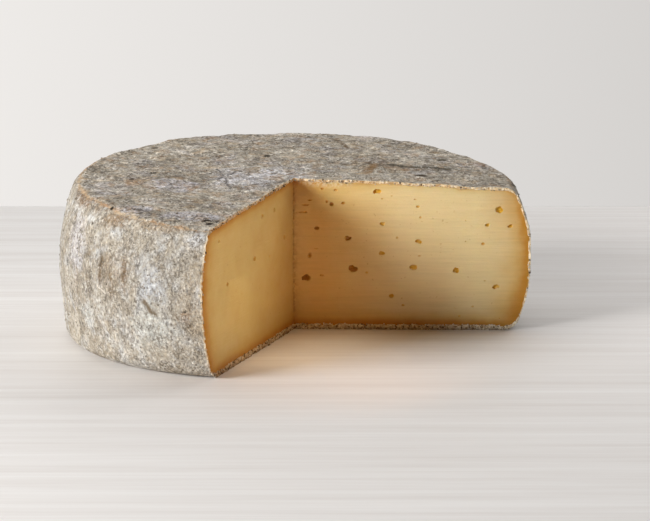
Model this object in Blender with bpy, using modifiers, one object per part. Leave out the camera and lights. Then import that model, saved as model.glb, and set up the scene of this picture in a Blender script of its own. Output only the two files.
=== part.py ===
"""A wheel of tomme cheese with one wedge cut out of it.

Metres, +Z up. The wheel stands on its flat base at z = 0, and the origin is the bottom
centre of its bounding box. The open corner of the cut looks towards -Y and +X. A bearing is
an angle round the wheel's axis, counted from +X towards +Y.
"""

import math
import random

import bmesh
import bpy
from mathutils import Vector, noise

COLLECTION_NAME = "tomme_cheese"
CUTTER_COLLECTION_NAME = "cutters"
NODE_NAME = "tomme_wheel"

# The wheel as it is turned, before it is made uneven.
RIM_RADIUS = 0.1000
HEIGHT = 0.0694
RIM_ROUNDING = 0.0039
FOOT_ROUNDING = 0.0056
TURN_STEPS = 120
TOP_RINGS = 12
SIDE_RINGS = 12
BASE_RINGS = 3
ARC_SEGMENTS = 4

# The turning axis stands a little off the origin, because the missing wedge moves the middle
# of the bounding box.
AXIS_X = 0.0004
AXIS_Y = -0.0032

# The slumped side: its belly, at this share of the height, is fuller than the rim.
BELLY = 0.0507
BELLY_HEIGHT = 0.65
TAPER = 0.072

# The plan is not a true circle.
OVAL_ALONG = 0.0128
OVAL_ACROSS = 0.0315

# The top face leans, so the wheel is thicker at the back and at the left.
TOP_SLOPE_X = -0.0347
TOP_SLOPE_Y = 0.060

# The foot draws in round one side, most at this bearing.
FOOT_DRAW = 0.0192
FOOT_DRAW_BEARING = math.radians(290.0)
FOOT_DRAW_HEIGHT = 0.8
FOOT_DRAW_REACH = 0.040

# Dents of the rind: a depth and a wavelength for each of two sizes.
BROAD_DENT = (0.0011, 0.038)
SMALL_DENT = (0.0006, 0.014)
DENT_FADE_HEIGHT = 0.012

# The wedge that was cut out, between two upright planes that meet near the axis.
CORNER_X = -0.0016
CORNER_Y = 0.0008
LEFT_CUT_BEARING = math.radians(249.5)
RIGHT_CUT_BEARING = math.radians(-1.7)
CUTTER_REACH = 0.200
CUTTER_HALF_HEIGHT = 0.100

# Eyes, the small gas holes in the paste. Each is flattened, as the curd was pressed.
EYE_SEED = 7
EYE_GAP = 0.0045
EYE_MARGIN = 0.008
EYE_SINK = 0.15
EYE_ROUGHNESS = 0.12
EYE_THICKNESS = 0.8
BIG_EYE = 0.0030
SCATTERED_EYE_WIDTHS = (0.0016, 0.0036)
SCATTERED_EYE_SHAPES = (0.50, 0.95)
SCATTER_TRIES = 2000

# Eyes that show on each cut: distance from the corner, height, width and height of the hole.
RIGHT_CUT_EYES = (
    (0.0055, 0.0236, 0.0046, 0.0027),
    (0.0265, 0.0280, 0.0042, 0.0028),
    (0.0245, 0.0420, 0.0030, 0.0020),
    (0.0072, 0.0340, 0.0021, 0.0024),
    (0.0102, 0.0465, 0.0023, 0.0018),
    (0.0171, 0.0575, 0.0024, 0.0016),
    (0.0373, 0.0635, 0.0036, 0.0022),
)
LEFT_CUT_EYES = (
    (0.0374, 0.0590, 0.0030, 0.0021),
    (0.0236, 0.0592, 0.0027, 0.0020),
    (0.0111, 0.0447, 0.0030, 0.0021),
    (0.0465, 0.0420, 0.0030, 0.0021),
    (0.0293, 0.0395, 0.0022, 0.0014),
    (0.0770, 0.0374, 0.0022, 0.0018),
    (0.0860, 0.0575, 0.0022, 0.0011),
)
# How many more the scatter adds on each cut, and how near the corner it may start. The
# left cut has no more than the ones above.
RIGHT_CUT_SCATTER = (13, 0.036)
LEFT_CUT_SCATTER = (0, 0.012)

RIND_COLOUR = (0.44, 0.39, 0.33, 1.0)
RIND_ROUGHNESS = 0.95
PASTE_COLOUR = (0.80, 0.62, 0.33, 1.0)
PASTE_ROUGHNESS = 0.55
MERGE_DISTANCE = 0.00001


def clear_scene():
    """Remove every object that the open file starts with."""
    for item in list(bpy.data.objects):
        bpy.data.objects.remove(item, do_unlink=True)


def new_collection(name):
    """Return a new collection that is linked to the scene."""
    collection = bpy.data.collections.new(name)
    bpy.context.scene.collection.children.link(collection)
    return collection


def make_material(name, colour, roughness):
    """Return a Principled material with one colour and no metal."""
    material = bpy.data.materials.new(name)
    material.use_nodes = True
    material.diffuse_color = colour
    shader = material.node_tree.nodes["Principled BSDF"]
    shader.inputs["Base Color"].default_value = colour
    shader.inputs["Roughness"].default_value = roughness
    shader.inputs["Metallic"].default_value = 0.0
    return material


def add_object(name, mesh, collection):
    """Put a mesh into a collection as a new object."""
    item = bpy.data.objects.new(name, mesh)
    collection.objects.link(item)
    return item


def evaluated_mesh(item):
    """Return a plain mesh of an object with its modifiers worked in."""
    bpy.context.view_layer.update()
    graph = bpy.context.evaluated_depsgraph_get()
    return bpy.data.meshes.new_from_object(item.evaluated_get(graph))


def clamp(value):
    """Limit a value to the range from 0 to 1."""
    return min(1.0, max(0.0, value))


def spread(start, end, count):
    """Return count evenly spaced values from start up to, but not including, end."""
    return [start + (end - start) * index / count for index in range(count)]


def arc_points(centre_radius, centre_height, rounding, first_angle):
    """Return a quarter arc that turns downwards from an angle above the horizontal."""
    angles = spread(first_angle, first_angle - math.pi / 2, ARC_SEGMENTS)
    return [
        (centre_radius + rounding * math.cos(angle), centre_height + rounding * math.sin(angle))
        for angle in angles
    ]


def wheel_profile():
    """Return the turned profile as (radius, height), from the top centre down to the base."""
    flat_top = RIM_RADIUS - RIM_ROUNDING
    flat_base = RIM_RADIUS - FOOT_ROUNDING
    shoulder = HEIGHT - RIM_ROUNDING
    points = [(radius, HEIGHT) for radius in spread(0.0, flat_top, TOP_RINGS)]
    points += arc_points(flat_top, shoulder, RIM_ROUNDING, math.pi / 2)
    points += [(RIM_RADIUS, height) for height in spread(shoulder, FOOT_ROUNDING, SIDE_RINGS)]
    points += arc_points(flat_base, FOOT_ROUNDING, FOOT_ROUNDING, 0.0)
    points += [(radius, 0.0) for radius in spread(flat_base, 0.0, BASE_RINGS)]
    points.append((0.0, 0.0))
    return points


def turn_wheel(collection):
    """Turn the profile into a closed wheel and return it as a plain mesh."""
    profile = wheel_profile()
    mesh = bpy.data.meshes.new("wheel_profile")
    edges = [(index, index + 1) for index in range(len(profile) - 1)]
    mesh.from_pydata([(radius, 0.0, height) for radius, height in profile], edges, [])
    guide = add_object("wheel_profile", mesh, collection)
    screw = guide.modifiers.new("turn", 'SCREW')
    screw.steps = TURN_STEPS
    screw.render_steps = TURN_STEPS
    screw.use_merge_vertices = True
    screw.merge_threshold = MERGE_DISTANCE
    turned = evaluated_mesh(guide)
    bpy.data.objects.remove(guide, do_unlink=True)
    return turned


def belly_share(level):
    """Return how full the side is at a level from 0 at the base to 1 at the top."""
    if level < BELLY_HEIGHT:
        return math.sin(math.pi * 0.5 * level / BELLY_HEIGHT)
    return math.sin(math.pi * (0.5 + 0.5 * (level - BELLY_HEIGHT) / (1.0 - BELLY_HEIGHT)))


def foot_draw(radius, bearing, level):
    """Return how far the foot is drawn in towards the axis."""
    depth = clamp(1.0 - level / FOOT_DRAW_HEIGHT)
    inward = 1.0 - math.sqrt(1.0 - depth * depth)
    edge = clamp((radius - RIM_RADIUS + FOOT_DRAW_REACH) / FOOT_DRAW_REACH) ** 2
    side = (0.5 + 0.5 * math.cos(bearing - FOOT_DRAW_BEARING)) ** 2
    return FOOT_DRAW * inward * edge * side


def rind_normal(radius, bearing, height):
    """Return the outward direction of the turned wheel, or nothing on its base."""
    side = clamp((radius - RIM_RADIUS + RIM_ROUNDING) / RIM_ROUNDING)
    top = clamp((height - HEIGHT + RIM_ROUNDING) / RIM_ROUNDING)
    fade = clamp(height / DENT_FADE_HEIGHT)
    return Vector((math.cos(bearing) * side, math.sin(bearing) * side, top)) * fade


def dent_depth(point):
    """Return how far the rind swells or sinks at a point."""
    total = 0.0
    for depth, wavelength in (BROAD_DENT, SMALL_DENT):
        total += depth * noise.noise(point / wavelength)
    return total


def uneven_point(point):
    """Move a point of the turned wheel to its place on the real, uneven one."""
    radius = math.hypot(point.x, point.y)
    bearing = math.atan2(point.y, point.x)
    level = clamp(point.z / HEIGHT)
    plan = 1.0 + OVAL_ALONG * math.cos(2.0 * bearing) + OVAL_ACROSS * math.sin(2.0 * bearing)
    side = 1.0 + BELLY * belly_share(level) + TAPER * (0.5 - level)
    reach = radius * side * plan - foot_draw(radius, bearing, level)
    moved = Vector((reach * math.cos(bearing), reach * math.sin(bearing), point.z))
    moved.z += level * (TOP_SLOPE_X * moved.x + TOP_SLOPE_Y * moved.y)
    moved += rind_normal(radius, bearing, point.z) * dent_depth(moved)
    return moved + Vector((AXIS_X, AXIS_Y, 0.0))


def shape_wheel(mesh):
    """Make the turned wheel uneven, and fold its rings together at the two poles."""
    for vertex in mesh.vertices:
        vertex.co = uneven_point(vertex.co)
    work = bmesh.new()
    work.from_mesh(mesh)
    bmesh.ops.remove_doubles(work, verts=work.verts, dist=MERGE_DISTANCE)
    bmesh.ops.recalc_face_normals(work, faces=work.faces)
    work.to_mesh(mesh)
    work.free()


def corner_point():
    """Return the foot of the upright line where the two cuts meet."""
    return Vector((AXIS_X + CORNER_X, AXIS_Y + CORNER_Y, 0.0))


def bearing_direction(bearing):
    """Return the level unit vector at a bearing."""
    return Vector((math.cos(bearing), math.sin(bearing), 0.0))


def make_notch_cutter(collection, material):
    """Return the upright prism that takes the wedge out."""
    curve = bpy.data.curves.new("notch_outline", 'CURVE')
    curve.dimensions = '2D'
    curve.fill_mode = 'BOTH'
    curve.extrude = CUTTER_HALF_HEIGHT
    middle_bearing = 0.5 * (LEFT_CUT_BEARING + RIGHT_CUT_BEARING + 2.0 * math.pi)
    corner = corner_point()
    outline = [corner]
    for bearing in (LEFT_CUT_BEARING, middle_bearing, RIGHT_CUT_BEARING):
        outline.append(corner + bearing_direction(bearing) * CUTTER_REACH)
    spline = curve.splines.new('POLY')
    spline.points.add(len(outline) - 1)
    for place, point in zip(spline.points, outline):
        place.co = (point.x, point.y, 0.0, 1.0)
    spline.use_cyclic_u = True
    guide = add_object("notch_outline", curve, collection)
    mesh = evaluated_mesh(guide)
    bpy.data.objects.remove(guide, do_unlink=True)
    work = bmesh.new()
    work.from_mesh(mesh)
    bmesh.ops.remove_doubles(work, verts=work.verts, dist=MERGE_DISTANCE)
    bmesh.ops.recalc_face_normals(work, faces=work.faces)
    work.to_mesh(mesh)
    work.free()
    return finish_cutter("notch_cutter", mesh, collection, material)


def finish_cutter(name, mesh, collection, material):
    """Turn a mesh into a cutter that leaves its material on the faces it makes."""
    mesh.materials.clear()
    mesh.materials.append(material)
    cutter = add_object(name, mesh, collection)
    cutter.hide_render = True
    cutter.display_type = 'WIRE'
    return cutter


def paste_top(along, bearing):
    """Return the height of the top face at a distance along a cut."""
    place = bearing_direction(bearing) * along
    return HEIGHT + TOP_SLOPE_X * place.x + TOP_SLOPE_Y * place.y


def paste_end(up, bearing):
    """Return how far the paste reaches along a cut at a height."""
    turned = Vector((RIM_RADIUS * math.cos(bearing), RIM_RADIUS * math.sin(bearing), up))
    edge = uneven_point(turned) - corner_point()
    return math.hypot(edge.x, edge.y)


def eye_fits(eye, others, bearing):
    """Tell whether an eye lies well inside the paste and clear of the other eyes."""
    along, up, width, _ = eye
    if up < EYE_MARGIN or up > paste_top(along, bearing) - EYE_MARGIN:
        return False
    if along > paste_end(up, bearing) - EYE_MARGIN:
        return False
    for other in others:
        clear = EYE_GAP + 0.5 * (width + other[2])
        if math.hypot(along - other[0], up - other[1]) < clear:
            return False
    return True


def cut_eyes(shown, scatter, bearing, draw):
    """Return the eyes of one cut: the ones that show, and more by a seeded scatter."""
    eyes = list(shown)
    count, nearest = scatter
    wanted = len(shown) + count
    for _ in range(SCATTER_TRIES):
        if len(eyes) == wanted:
            break
        width = draw.uniform(*SCATTERED_EYE_WIDTHS)
        height = width * draw.uniform(*SCATTERED_EYE_SHAPES)
        eye = (draw.uniform(nearest, RIM_RADIUS), draw.uniform(0.0, HEIGHT), width, height)
        if eye_fits(eye, eyes, bearing):
            eyes.append(eye)
    return eyes


def add_eye(work, eye, bearing, inward, draw):
    """Add one flattened, slightly lumpy blob that straddles a cut face."""
    along, up, width, height = eye
    direction = bearing_direction(bearing)
    depth = 0.5 * EYE_THICKNESS * width
    centre = corner_point() + direction * along + inward * depth * EYE_SINK
    centre.z = up
    detail = 2 if width >= BIG_EYE else 1
    blob = bmesh.ops.create_icosphere(work, subdivisions=detail, radius=1.0)
    for vertex in blob["verts"]:
        lump = 1.0 + draw.uniform(-EYE_ROUGHNESS, EYE_ROUGHNESS)
        local = vertex.co * lump
        vertex.co = centre + direction * local.x * 0.5 * width + inward * local.y * depth
        vertex.co.z += local.z * 0.5 * height


def make_eye_cutter(collection, material):
    """Return one cutter that holds the blobs of all the eyes."""
    draw = random.Random(EYE_SEED)
    right_inward = bearing_direction(RIGHT_CUT_BEARING + math.pi / 2)
    left_inward = bearing_direction(LEFT_CUT_BEARING - math.pi / 2)
    cuts = (
        (RIGHT_CUT_EYES, RIGHT_CUT_SCATTER, RIGHT_CUT_BEARING, right_inward),
        (LEFT_CUT_EYES, LEFT_CUT_SCATTER, LEFT_CUT_BEARING, left_inward),
    )
    work = bmesh.new()
    for shown, scatter, bearing, inward in cuts:
        for eye in cut_eyes(shown, scatter, bearing, draw):
            add_eye(work, eye, bearing, inward, draw)
    bmesh.ops.recalc_face_normals(work, faces=work.faces)
    mesh = bpy.data.meshes.new("eye_cutter")
    work.to_mesh(mesh)
    work.free()
    return finish_cutter("eye_cutter", mesh, collection, material)


def cut_away(item, cutter):
    """Take a cutter's shape out of an object."""
    cut = item.modifiers.new(cutter.name, 'BOOLEAN')
    cut.operation = 'DIFFERENCE'
    cut.solver = 'EXACT'
    cut.material_mode = 'TRANSFER'
    cut.object = cutter


def main():
    """Build the wheel and the cutters that shape its open corner."""
    clear_scene()
    parts = new_collection(COLLECTION_NAME)
    cutters = new_collection(CUTTER_COLLECTION_NAME)
    rind = make_material("rind", RIND_COLOUR, RIND_ROUGHNESS)
    paste = make_material("paste", PASTE_COLOUR, PASTE_ROUGHNESS)
    mesh = turn_wheel(cutters)
    mesh.name = NODE_NAME
    shape_wheel(mesh)
    mesh.materials.clear()
    mesh.materials.append(rind)
    mesh.materials.append(paste)
    wheel = add_object(NODE_NAME, mesh, parts)
    cut_away(wheel, make_notch_cutter(cutters, paste))
    cut_away(wheel, make_eye_cutter(cutters, paste))
    mesh.shade_smooth()
    mesh.set_sharp_from_angle(angle=math.radians(40.0))


main()
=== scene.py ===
"""A cut wheel of tomme cheese, dressed for close views.

The wheel's solid carries the true form. This script builds the same form again at a finer
step: a rough crust, the paste inside it with its eyes, and the crumbs and grains that lie on
both. All lengths are metres unless a name says otherwise.
"""

import logging
import math
import random
from collections.abc import Iterable
from dataclasses import dataclass, field
from enum import Enum
from functools import cache, partialmethod

import bpy
import numpy as np
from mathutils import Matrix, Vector, noise
from mathutils.geometry import delaunay_2d_cdt


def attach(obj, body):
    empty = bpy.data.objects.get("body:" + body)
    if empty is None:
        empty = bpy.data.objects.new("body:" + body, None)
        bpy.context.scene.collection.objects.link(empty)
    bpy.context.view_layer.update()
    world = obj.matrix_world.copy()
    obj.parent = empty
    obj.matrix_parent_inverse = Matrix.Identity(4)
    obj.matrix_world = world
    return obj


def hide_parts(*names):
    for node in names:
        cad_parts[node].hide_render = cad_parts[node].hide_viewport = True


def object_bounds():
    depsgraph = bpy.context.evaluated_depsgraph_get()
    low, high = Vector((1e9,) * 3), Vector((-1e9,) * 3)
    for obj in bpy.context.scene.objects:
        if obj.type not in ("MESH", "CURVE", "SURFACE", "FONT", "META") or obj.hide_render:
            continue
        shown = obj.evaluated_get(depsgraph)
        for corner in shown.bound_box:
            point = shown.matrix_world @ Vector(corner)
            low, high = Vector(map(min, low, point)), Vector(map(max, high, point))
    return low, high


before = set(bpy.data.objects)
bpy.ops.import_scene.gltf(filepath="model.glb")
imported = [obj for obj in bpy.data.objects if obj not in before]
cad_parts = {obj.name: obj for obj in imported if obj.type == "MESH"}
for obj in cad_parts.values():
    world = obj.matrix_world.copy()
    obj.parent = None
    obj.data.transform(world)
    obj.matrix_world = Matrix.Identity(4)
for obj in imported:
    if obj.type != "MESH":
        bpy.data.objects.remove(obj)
solid_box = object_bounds()

LOG = logging.getLogger("tomme")
NODE_NAME = "tomme_wheel"
BODY_NAME = "root"
MILLIMETRE = 0.001
# The kinds of a number and of a vector.
DATA_TYPES = ('FLOAT', 'FLOAT_VECTOR')
# How many points are measured against an outline at once, and what keeps a divisor off zero.
BLOCK = 2000
TINY = 1e-18
# The numbers of a place's coordinates.
ACROSS, BACK, UP = range(3)
# A row of a triangular grid lies this share of the spacing from the next.
ROW_SHARE = 0.866
# How far its points are shaken, as a share of the spacing.
SHAKE = 0.22

Array = np.ndarray
Triple = tuple[float, float, float]
Tint = tuple[int, int, int]
Stops = tuple[tuple[float, Tint], ...]
Material = bpy.types.Material
Mesh = bpy.types.Mesh
Node = bpy.types.Node
NodeTree = bpy.types.NodeTree
Piece = bpy.types.Object
Socket = bpy.types.NodeSocket
Masks = dict[str, "Value"]


class Mark(str, Enum):
    """Names of the vertex attributes that materials and node trees read."""

    PUSH = "push"
    TEAR = "tear"
    TOP = "top"
    BAND = "band"
    DEPTH = "depth"
    EYE = "eye"
    TONE = "tone"
    SIZE = "size"
    FACING = "facing"


class Cut(Enum):
    """The two upright faces of the open corner."""

    RIGHT = "right"
    LEFT = "left"


def metres(lengths: Iterable[float]) -> tuple[float, ...]:
    """Turn millimetres into metres."""
    return tuple(length * MILLIMETRE for length in lengths)


def linear(tint: Tint) -> tuple[float, float, float, float]:
    """Turn a display colour from 0 to 255 into the linear one, with an alpha of 1."""
    shares = (channel / 255.0 for channel in tint)
    return (*(s / 12.92 if s <= 0.04045 else ((s + 0.055) / 1.055) ** 2.4 for s in shares), 1.0)


def noises(points: Array) -> Array:
    """Return soft noise from -1 to 1 at each point."""
    return np.array([noise.noise(Vector(point)) for point in points])


@dataclass(frozen=True)
class WheelForm:
    """The uneven wheel, in the same named sizes as its solid."""

    rim_radius: float = 0.1000
    height: float = 0.0694
    rim_rounding: float = 0.0039
    foot_rounding: float = 0.0056
    axis_x: float = 0.0004
    axis_y: float = -0.0032
    belly: float = 0.0507
    belly_height: float = 0.65
    taper: float = 0.072
    oval_along: float = 0.0128
    oval_across: float = 0.0315
    top_slope_x: float = -0.0347
    top_slope_y: float = 0.060
    foot_draw_depth: float = 0.0192
    foot_draw_bearing: float = math.radians(290.0)
    foot_draw_height: float = 0.8
    foot_draw_reach: float = 0.040
    broad_dent: tuple[float, float] = (0.0011, 0.038)
    small_dent: tuple[float, float] = (0.0006, 0.014)
    dent_fade_height: float = 0.012
    corner_x: float = -0.0016
    corner_y: float = 0.0008
    left_bearing: float = math.radians(249.5)
    right_bearing: float = math.radians(-1.7)

    def belly_share(self, level: Array) -> Array:
        """Return how full the side is at each level from 0 at the base to 1 at the top."""
        past = (level - self.belly_height) / (1.0 - self.belly_height)
        return np.sin(math.pi * np.where(past < 0.0, 0.5 * level / self.belly_height, 0.5 + 0.5 * past))

    def reach(self, radius: Array, bearing: Array, level: Array) -> Array:
        """Return how far a turned radius ends up from the axis.

        Args:
            radius: The radius as turned.
            bearing: The angle round the axis.
            level: The level, from 0 at the base to 1 at the top.

        Returns:
            The reach on the oval plan, with the belly and the drawn-in foot.
        """
        depth = np.clip(1.0 - level / self.foot_draw_height, 0.0, 1.0)
        inward = 1.0 - np.sqrt(1.0 - depth * depth)
        edge = (radius - self.rim_radius + self.foot_draw_reach) / self.foot_draw_reach
        facing = (0.5 + 0.5 * np.cos(bearing - self.foot_draw_bearing)) ** 2
        drawn = self.foot_draw_depth * inward * np.clip(edge, 0.0, 1.0) ** 2 * facing
        plan = 1.0 + self.oval_along * np.cos(2.0 * bearing)
        plan = plan + self.oval_across * np.sin(2.0 * bearing)
        side = 1.0 + self.belly * self.belly_share(level) + self.taper * (0.5 - level)
        return radius * side * plan - drawn

    def dent(self, points: Array) -> Array:
        """Return how far the rind swells or sinks at each point, measured from the axis."""
        dents = (self.broad_dent, self.small_dent)
        return sum(depth * noises(points / wavelength) for depth, wavelength in dents)

    def lift(self, x: Array, y: Array, level: Array) -> Array:
        """Return how much the leaning top raises a point at a level."""
        return level * (self.top_slope_x * x + self.top_slope_y * y)

    def side_reach(self, bearing: float, height: float) -> float:
        """Return how far the side lies from the corner along a cut.

        Args:
            bearing: The cut's bearing.
            height: The height before the top leans.

        Returns:
            The distance in plan.
        """
        level = np.clip(height / self.height, 0.0, 1.0)
        heading = np.array([math.cos(bearing), math.sin(bearing), 0.0])
        place = self.reach(self.rim_radius, bearing, level) * heading
        place[2] = height + self.lift(place[0], place[1], level)
        swell = self.dent(place[None])[0] * np.clip(height / self.dent_fade_height, 0.0, 1.0)
        return float(np.linalg.norm((place + swell * heading)[:2] - self.corner()))

    def corner(self) -> Array:
        """Return the place where the two cuts meet, measured from the axis."""
        return np.array([self.corner_x, self.corner_y])

    def origin(self) -> Array:
        """Return the place of the axis on the surface that the wheel stands on."""
        return np.array([self.axis_x, self.axis_y, 0.0])

    def bearing(self, cut: Cut) -> float:
        """Return the bearing of a cut."""
        return self.left_bearing if cut is Cut.LEFT else self.right_bearing

    def along(self, cut: Cut) -> Array:
        """Return the level direction that leads from the corner out along a cut."""
        bearing = self.bearing(cut)
        return np.array([math.cos(bearing), math.sin(bearing), 0.0])

    def outward(self, cut: Cut) -> Array:
        """Return the direction that a cut face looks in."""
        x, y, _ = self.along(cut) * (-1.0 if cut is Cut.LEFT else 1.0)
        return np.array([y, -x, 0.0])

    def corner_place(self, height: float = 0.0) -> Array:
        """Return the point of the corner's upright line at a height."""
        return self.origin() + np.array([*self.corner(), height])

    def cut_plan(self, cut: Cut, places: Array) -> Array:
        """Return each point's distance from the corner along a cut, and its height."""
        return np.column_stack([(places - self.corner_place()) @ self.along(cut), places[:, 2]])

    def cut_place(self, cut: Cut, plan: Array) -> Array:
        """Return the points of a cut face that lie at distances and heights."""
        level = self.corner_place()[:2] + plan[:, :1] * self.along(cut)[:2]
        return np.column_stack([level, plan[:, 1]])

    def behind(self, cut: Cut, places: Array) -> Array:
        """Return how far each point lies behind a cut face."""
        return (self.corner_place() - places) @ self.outward(cut)


@dataclass(frozen=True)
class Inset:
    """How far a skin lies inside the wheel's surface, at the side, top and base."""

    side: float = 0.0
    top: float = 0.0
    base: float = 0.0


@dataclass(frozen=True)
class SkinStep:
    """The spacing of a skin's points round the wheel, down its side and on its faces."""

    across: float
    down: float
    top: float
    base: float


def store_mark(mesh: Mesh, mark: Mark, values: Array) -> None:
    """Write a named attribute of the vertices anew.

    Args:
        mesh: The mesh that takes it.
        mark: Which attribute.
        values: One value or one vector for each vertex.
    """
    vector = values.ndim == 2
    if mark.value in mesh.attributes:
        mesh.attributes.remove(mesh.attributes[mark.value])
    made = mesh.attributes.new(mark.value, DATA_TYPES[vector], 'POINT')
    flat = np.ascontiguousarray(values, dtype=np.float32).ravel()
    made.data.foreach_set("vector" if vector else "value", flat)


def read_rows(rows: bpy.types.bpy_prop_collection, key: str, width: int) -> Array:
    """Return a property of each item of a mesh.

    Args:
        rows: The vertices, or the values of an attribute.
        key: The property's name.
        width: How many numbers it holds.

    Returns:
        One row for each item.
    """
    flat = np.empty(len(rows) * width, dtype=np.float32)
    rows.foreach_get(key, flat)
    return flat.reshape(-1, width).astype(float)


def vertex_places(mesh: Mesh) -> Array:
    """Return a mesh's vertices as rows."""
    return read_rows(mesh.vertices, "co", 3)


def read_mark(mesh: Mesh, mark: Mark) -> Array:
    """Return a mark's value or vector for each vertex.

    Args:
        mesh: The mesh that has it.
        mark: Which attribute.

    Returns:
        Numbers, or rows of three.
    """
    stored = mesh.attributes[mark.value]
    if stored.data_type == 'FLOAT_VECTOR':
        return read_rows(stored.data, "vector", 3)
    return read_rows(stored.data, "value", 1)[:, 0]


def link_object(name: str, data: bpy.types.ID) -> Piece:
    """Link a new object to the scene.

    Args:
        name: The object's name.
        data: Its mesh, light or camera.

    Returns:
        The object.
    """
    item = bpy.data.objects.new(name, data)
    bpy.context.scene.collection.objects.link(item)
    return item


def bake_modifiers(item: Piece) -> None:
    """Work an object's modifiers into its mesh and remove them.

    Args:
        item: The object.
    """
    bpy.context.view_layer.update()
    graph = bpy.context.evaluated_depsgraph_get()
    mesh = bpy.data.meshes.new_from_object(item.evaluated_get(graph))
    item.modifiers.clear()
    spent, item.data = item.data, mesh
    bpy.data.meshes.remove(spent)
    mesh.name = item.name


def outline_distance(points: Array, outline: Array) -> Array:
    """Measure how far flat points lie from a line of points.

    Args:
        points: The flat points.
        outline: The line's points in order, open or closed.

    Returns:
        Each point's distance to the line.
    """
    starts = outline[:-1]
    runs = outline[1:] - starts
    squares = np.maximum((runs * runs).sum(1), TINY)
    nearest = [np.zeros(0)]
    for first in range(0, len(points), BLOCK):
        offsets = points[first:first + BLOCK, None, :] - starts[None]
        share = np.clip((offsets * runs).sum(2) / squares, 0.0, 1.0)
        gaps = offsets - share[..., None] * runs
        nearest.append(np.sqrt((gaps * gaps).sum(2)).min(1))
    return np.concatenate(nearest)


def inside_outline(points: Array, outline: Array) -> Array:
    """Tell which flat points lie inside a closed outline.

    Args:
        points: The flat points.
        outline: The outline's points in order.

    Returns:
        True for each point that lies inside.
    """
    ax, ay = outline.T
    bx, by = np.roll(outline, -1, axis=0).T
    rise = np.where(by == ay, TINY, by - ay)
    results = [np.zeros(0, dtype=bool)]
    for first in range(0, len(points), BLOCK):
        x, y = (points[first:first + BLOCK, axis:axis + 1] for axis in (0, 1))
        crossed = ((ay > y) != (by > y)) & (x < ax + (y - ay) * (bx - ax) / rise)
        results.append(crossed.sum(1) % 2 == 1)
    return np.concatenate(results)


def lattice(outline: Array, spacing: float, draw: random.Random) -> Array:
    """Lay a slightly shaken triangular grid over an outline's box.

    Args:
        outline: The outline's points.
        spacing: The distance between the grid's points.
        draw: The source of the shake.

    Returns:
        The grid's points.
    """
    low, high = outline.min(0), outline.max(0)
    rows = int((high[1] - low[1]) / (spacing * ROW_SHARE)) + 1
    columns = int((high[0] - low[0]) / spacing) + 1
    y, x = np.mgrid[0:rows, 0:columns]
    grid = np.stack([x + 0.5 * (y % 2), y * ROW_SHARE], axis=-1).reshape(-1, 2) * spacing + low
    shake = np.random.default_rng(draw.randrange(10**6)).uniform(-SHAKE, SHAKE, grid.shape)
    return grid + shake * spacing


def fill_points(
    outline: Array, spacing: float, draw: random.Random, edge: tuple[float, float] | None = None
) -> Array:
    """Return points spread inside a closed outline.

    Args:
        outline: The outline's points in order.
        spacing: The distance between points.
        draw: The source of the small shake that each point gets.
        edge: A finer spacing, and the width of the band along the outline that has it.

    Returns:
        The points, clear of the outline itself.
    """
    closed = np.vstack([outline, outline[:1]])
    fine, width = edge if edge else (spacing, 0.0)
    chosen = []
    for step, nearest, farthest in ((fine, 0.5 * fine, width), (spacing, width + 0.4 * spacing, 1.0)):
        if farthest <= nearest:
            continue
        grid = lattice(outline, step, draw)
        grid = grid[inside_outline(grid, outline)]
        gap = outline_distance(grid, closed)
        chosen.append(grid[(gap > nearest) & (gap < farthest)])
    return np.vstack(chosen)


def triangulate(outline: Array, inner: Array) -> Array:
    """Fill a closed outline with triangles that use the inner points too.

    Args:
        outline: The outline's points in order.
        inner: Free points inside the outline.

    Returns:
        Anticlockwise triangles, as numbers into the outline and then the inner points.
    """
    places = np.vstack([outline, inner])
    loop = list(range(len(outline)))
    flat = [Vector(point) for point in places]
    _, _, faces, sources, _, _ = delaunay_2d_cdt(flat, [], [loop], 1, 1e-9, True)
    named = np.array([[sources[number][0] for number in face] for face in faces])
    return named[inside_outline(places[named].mean(axis=1), outline)]


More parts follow.
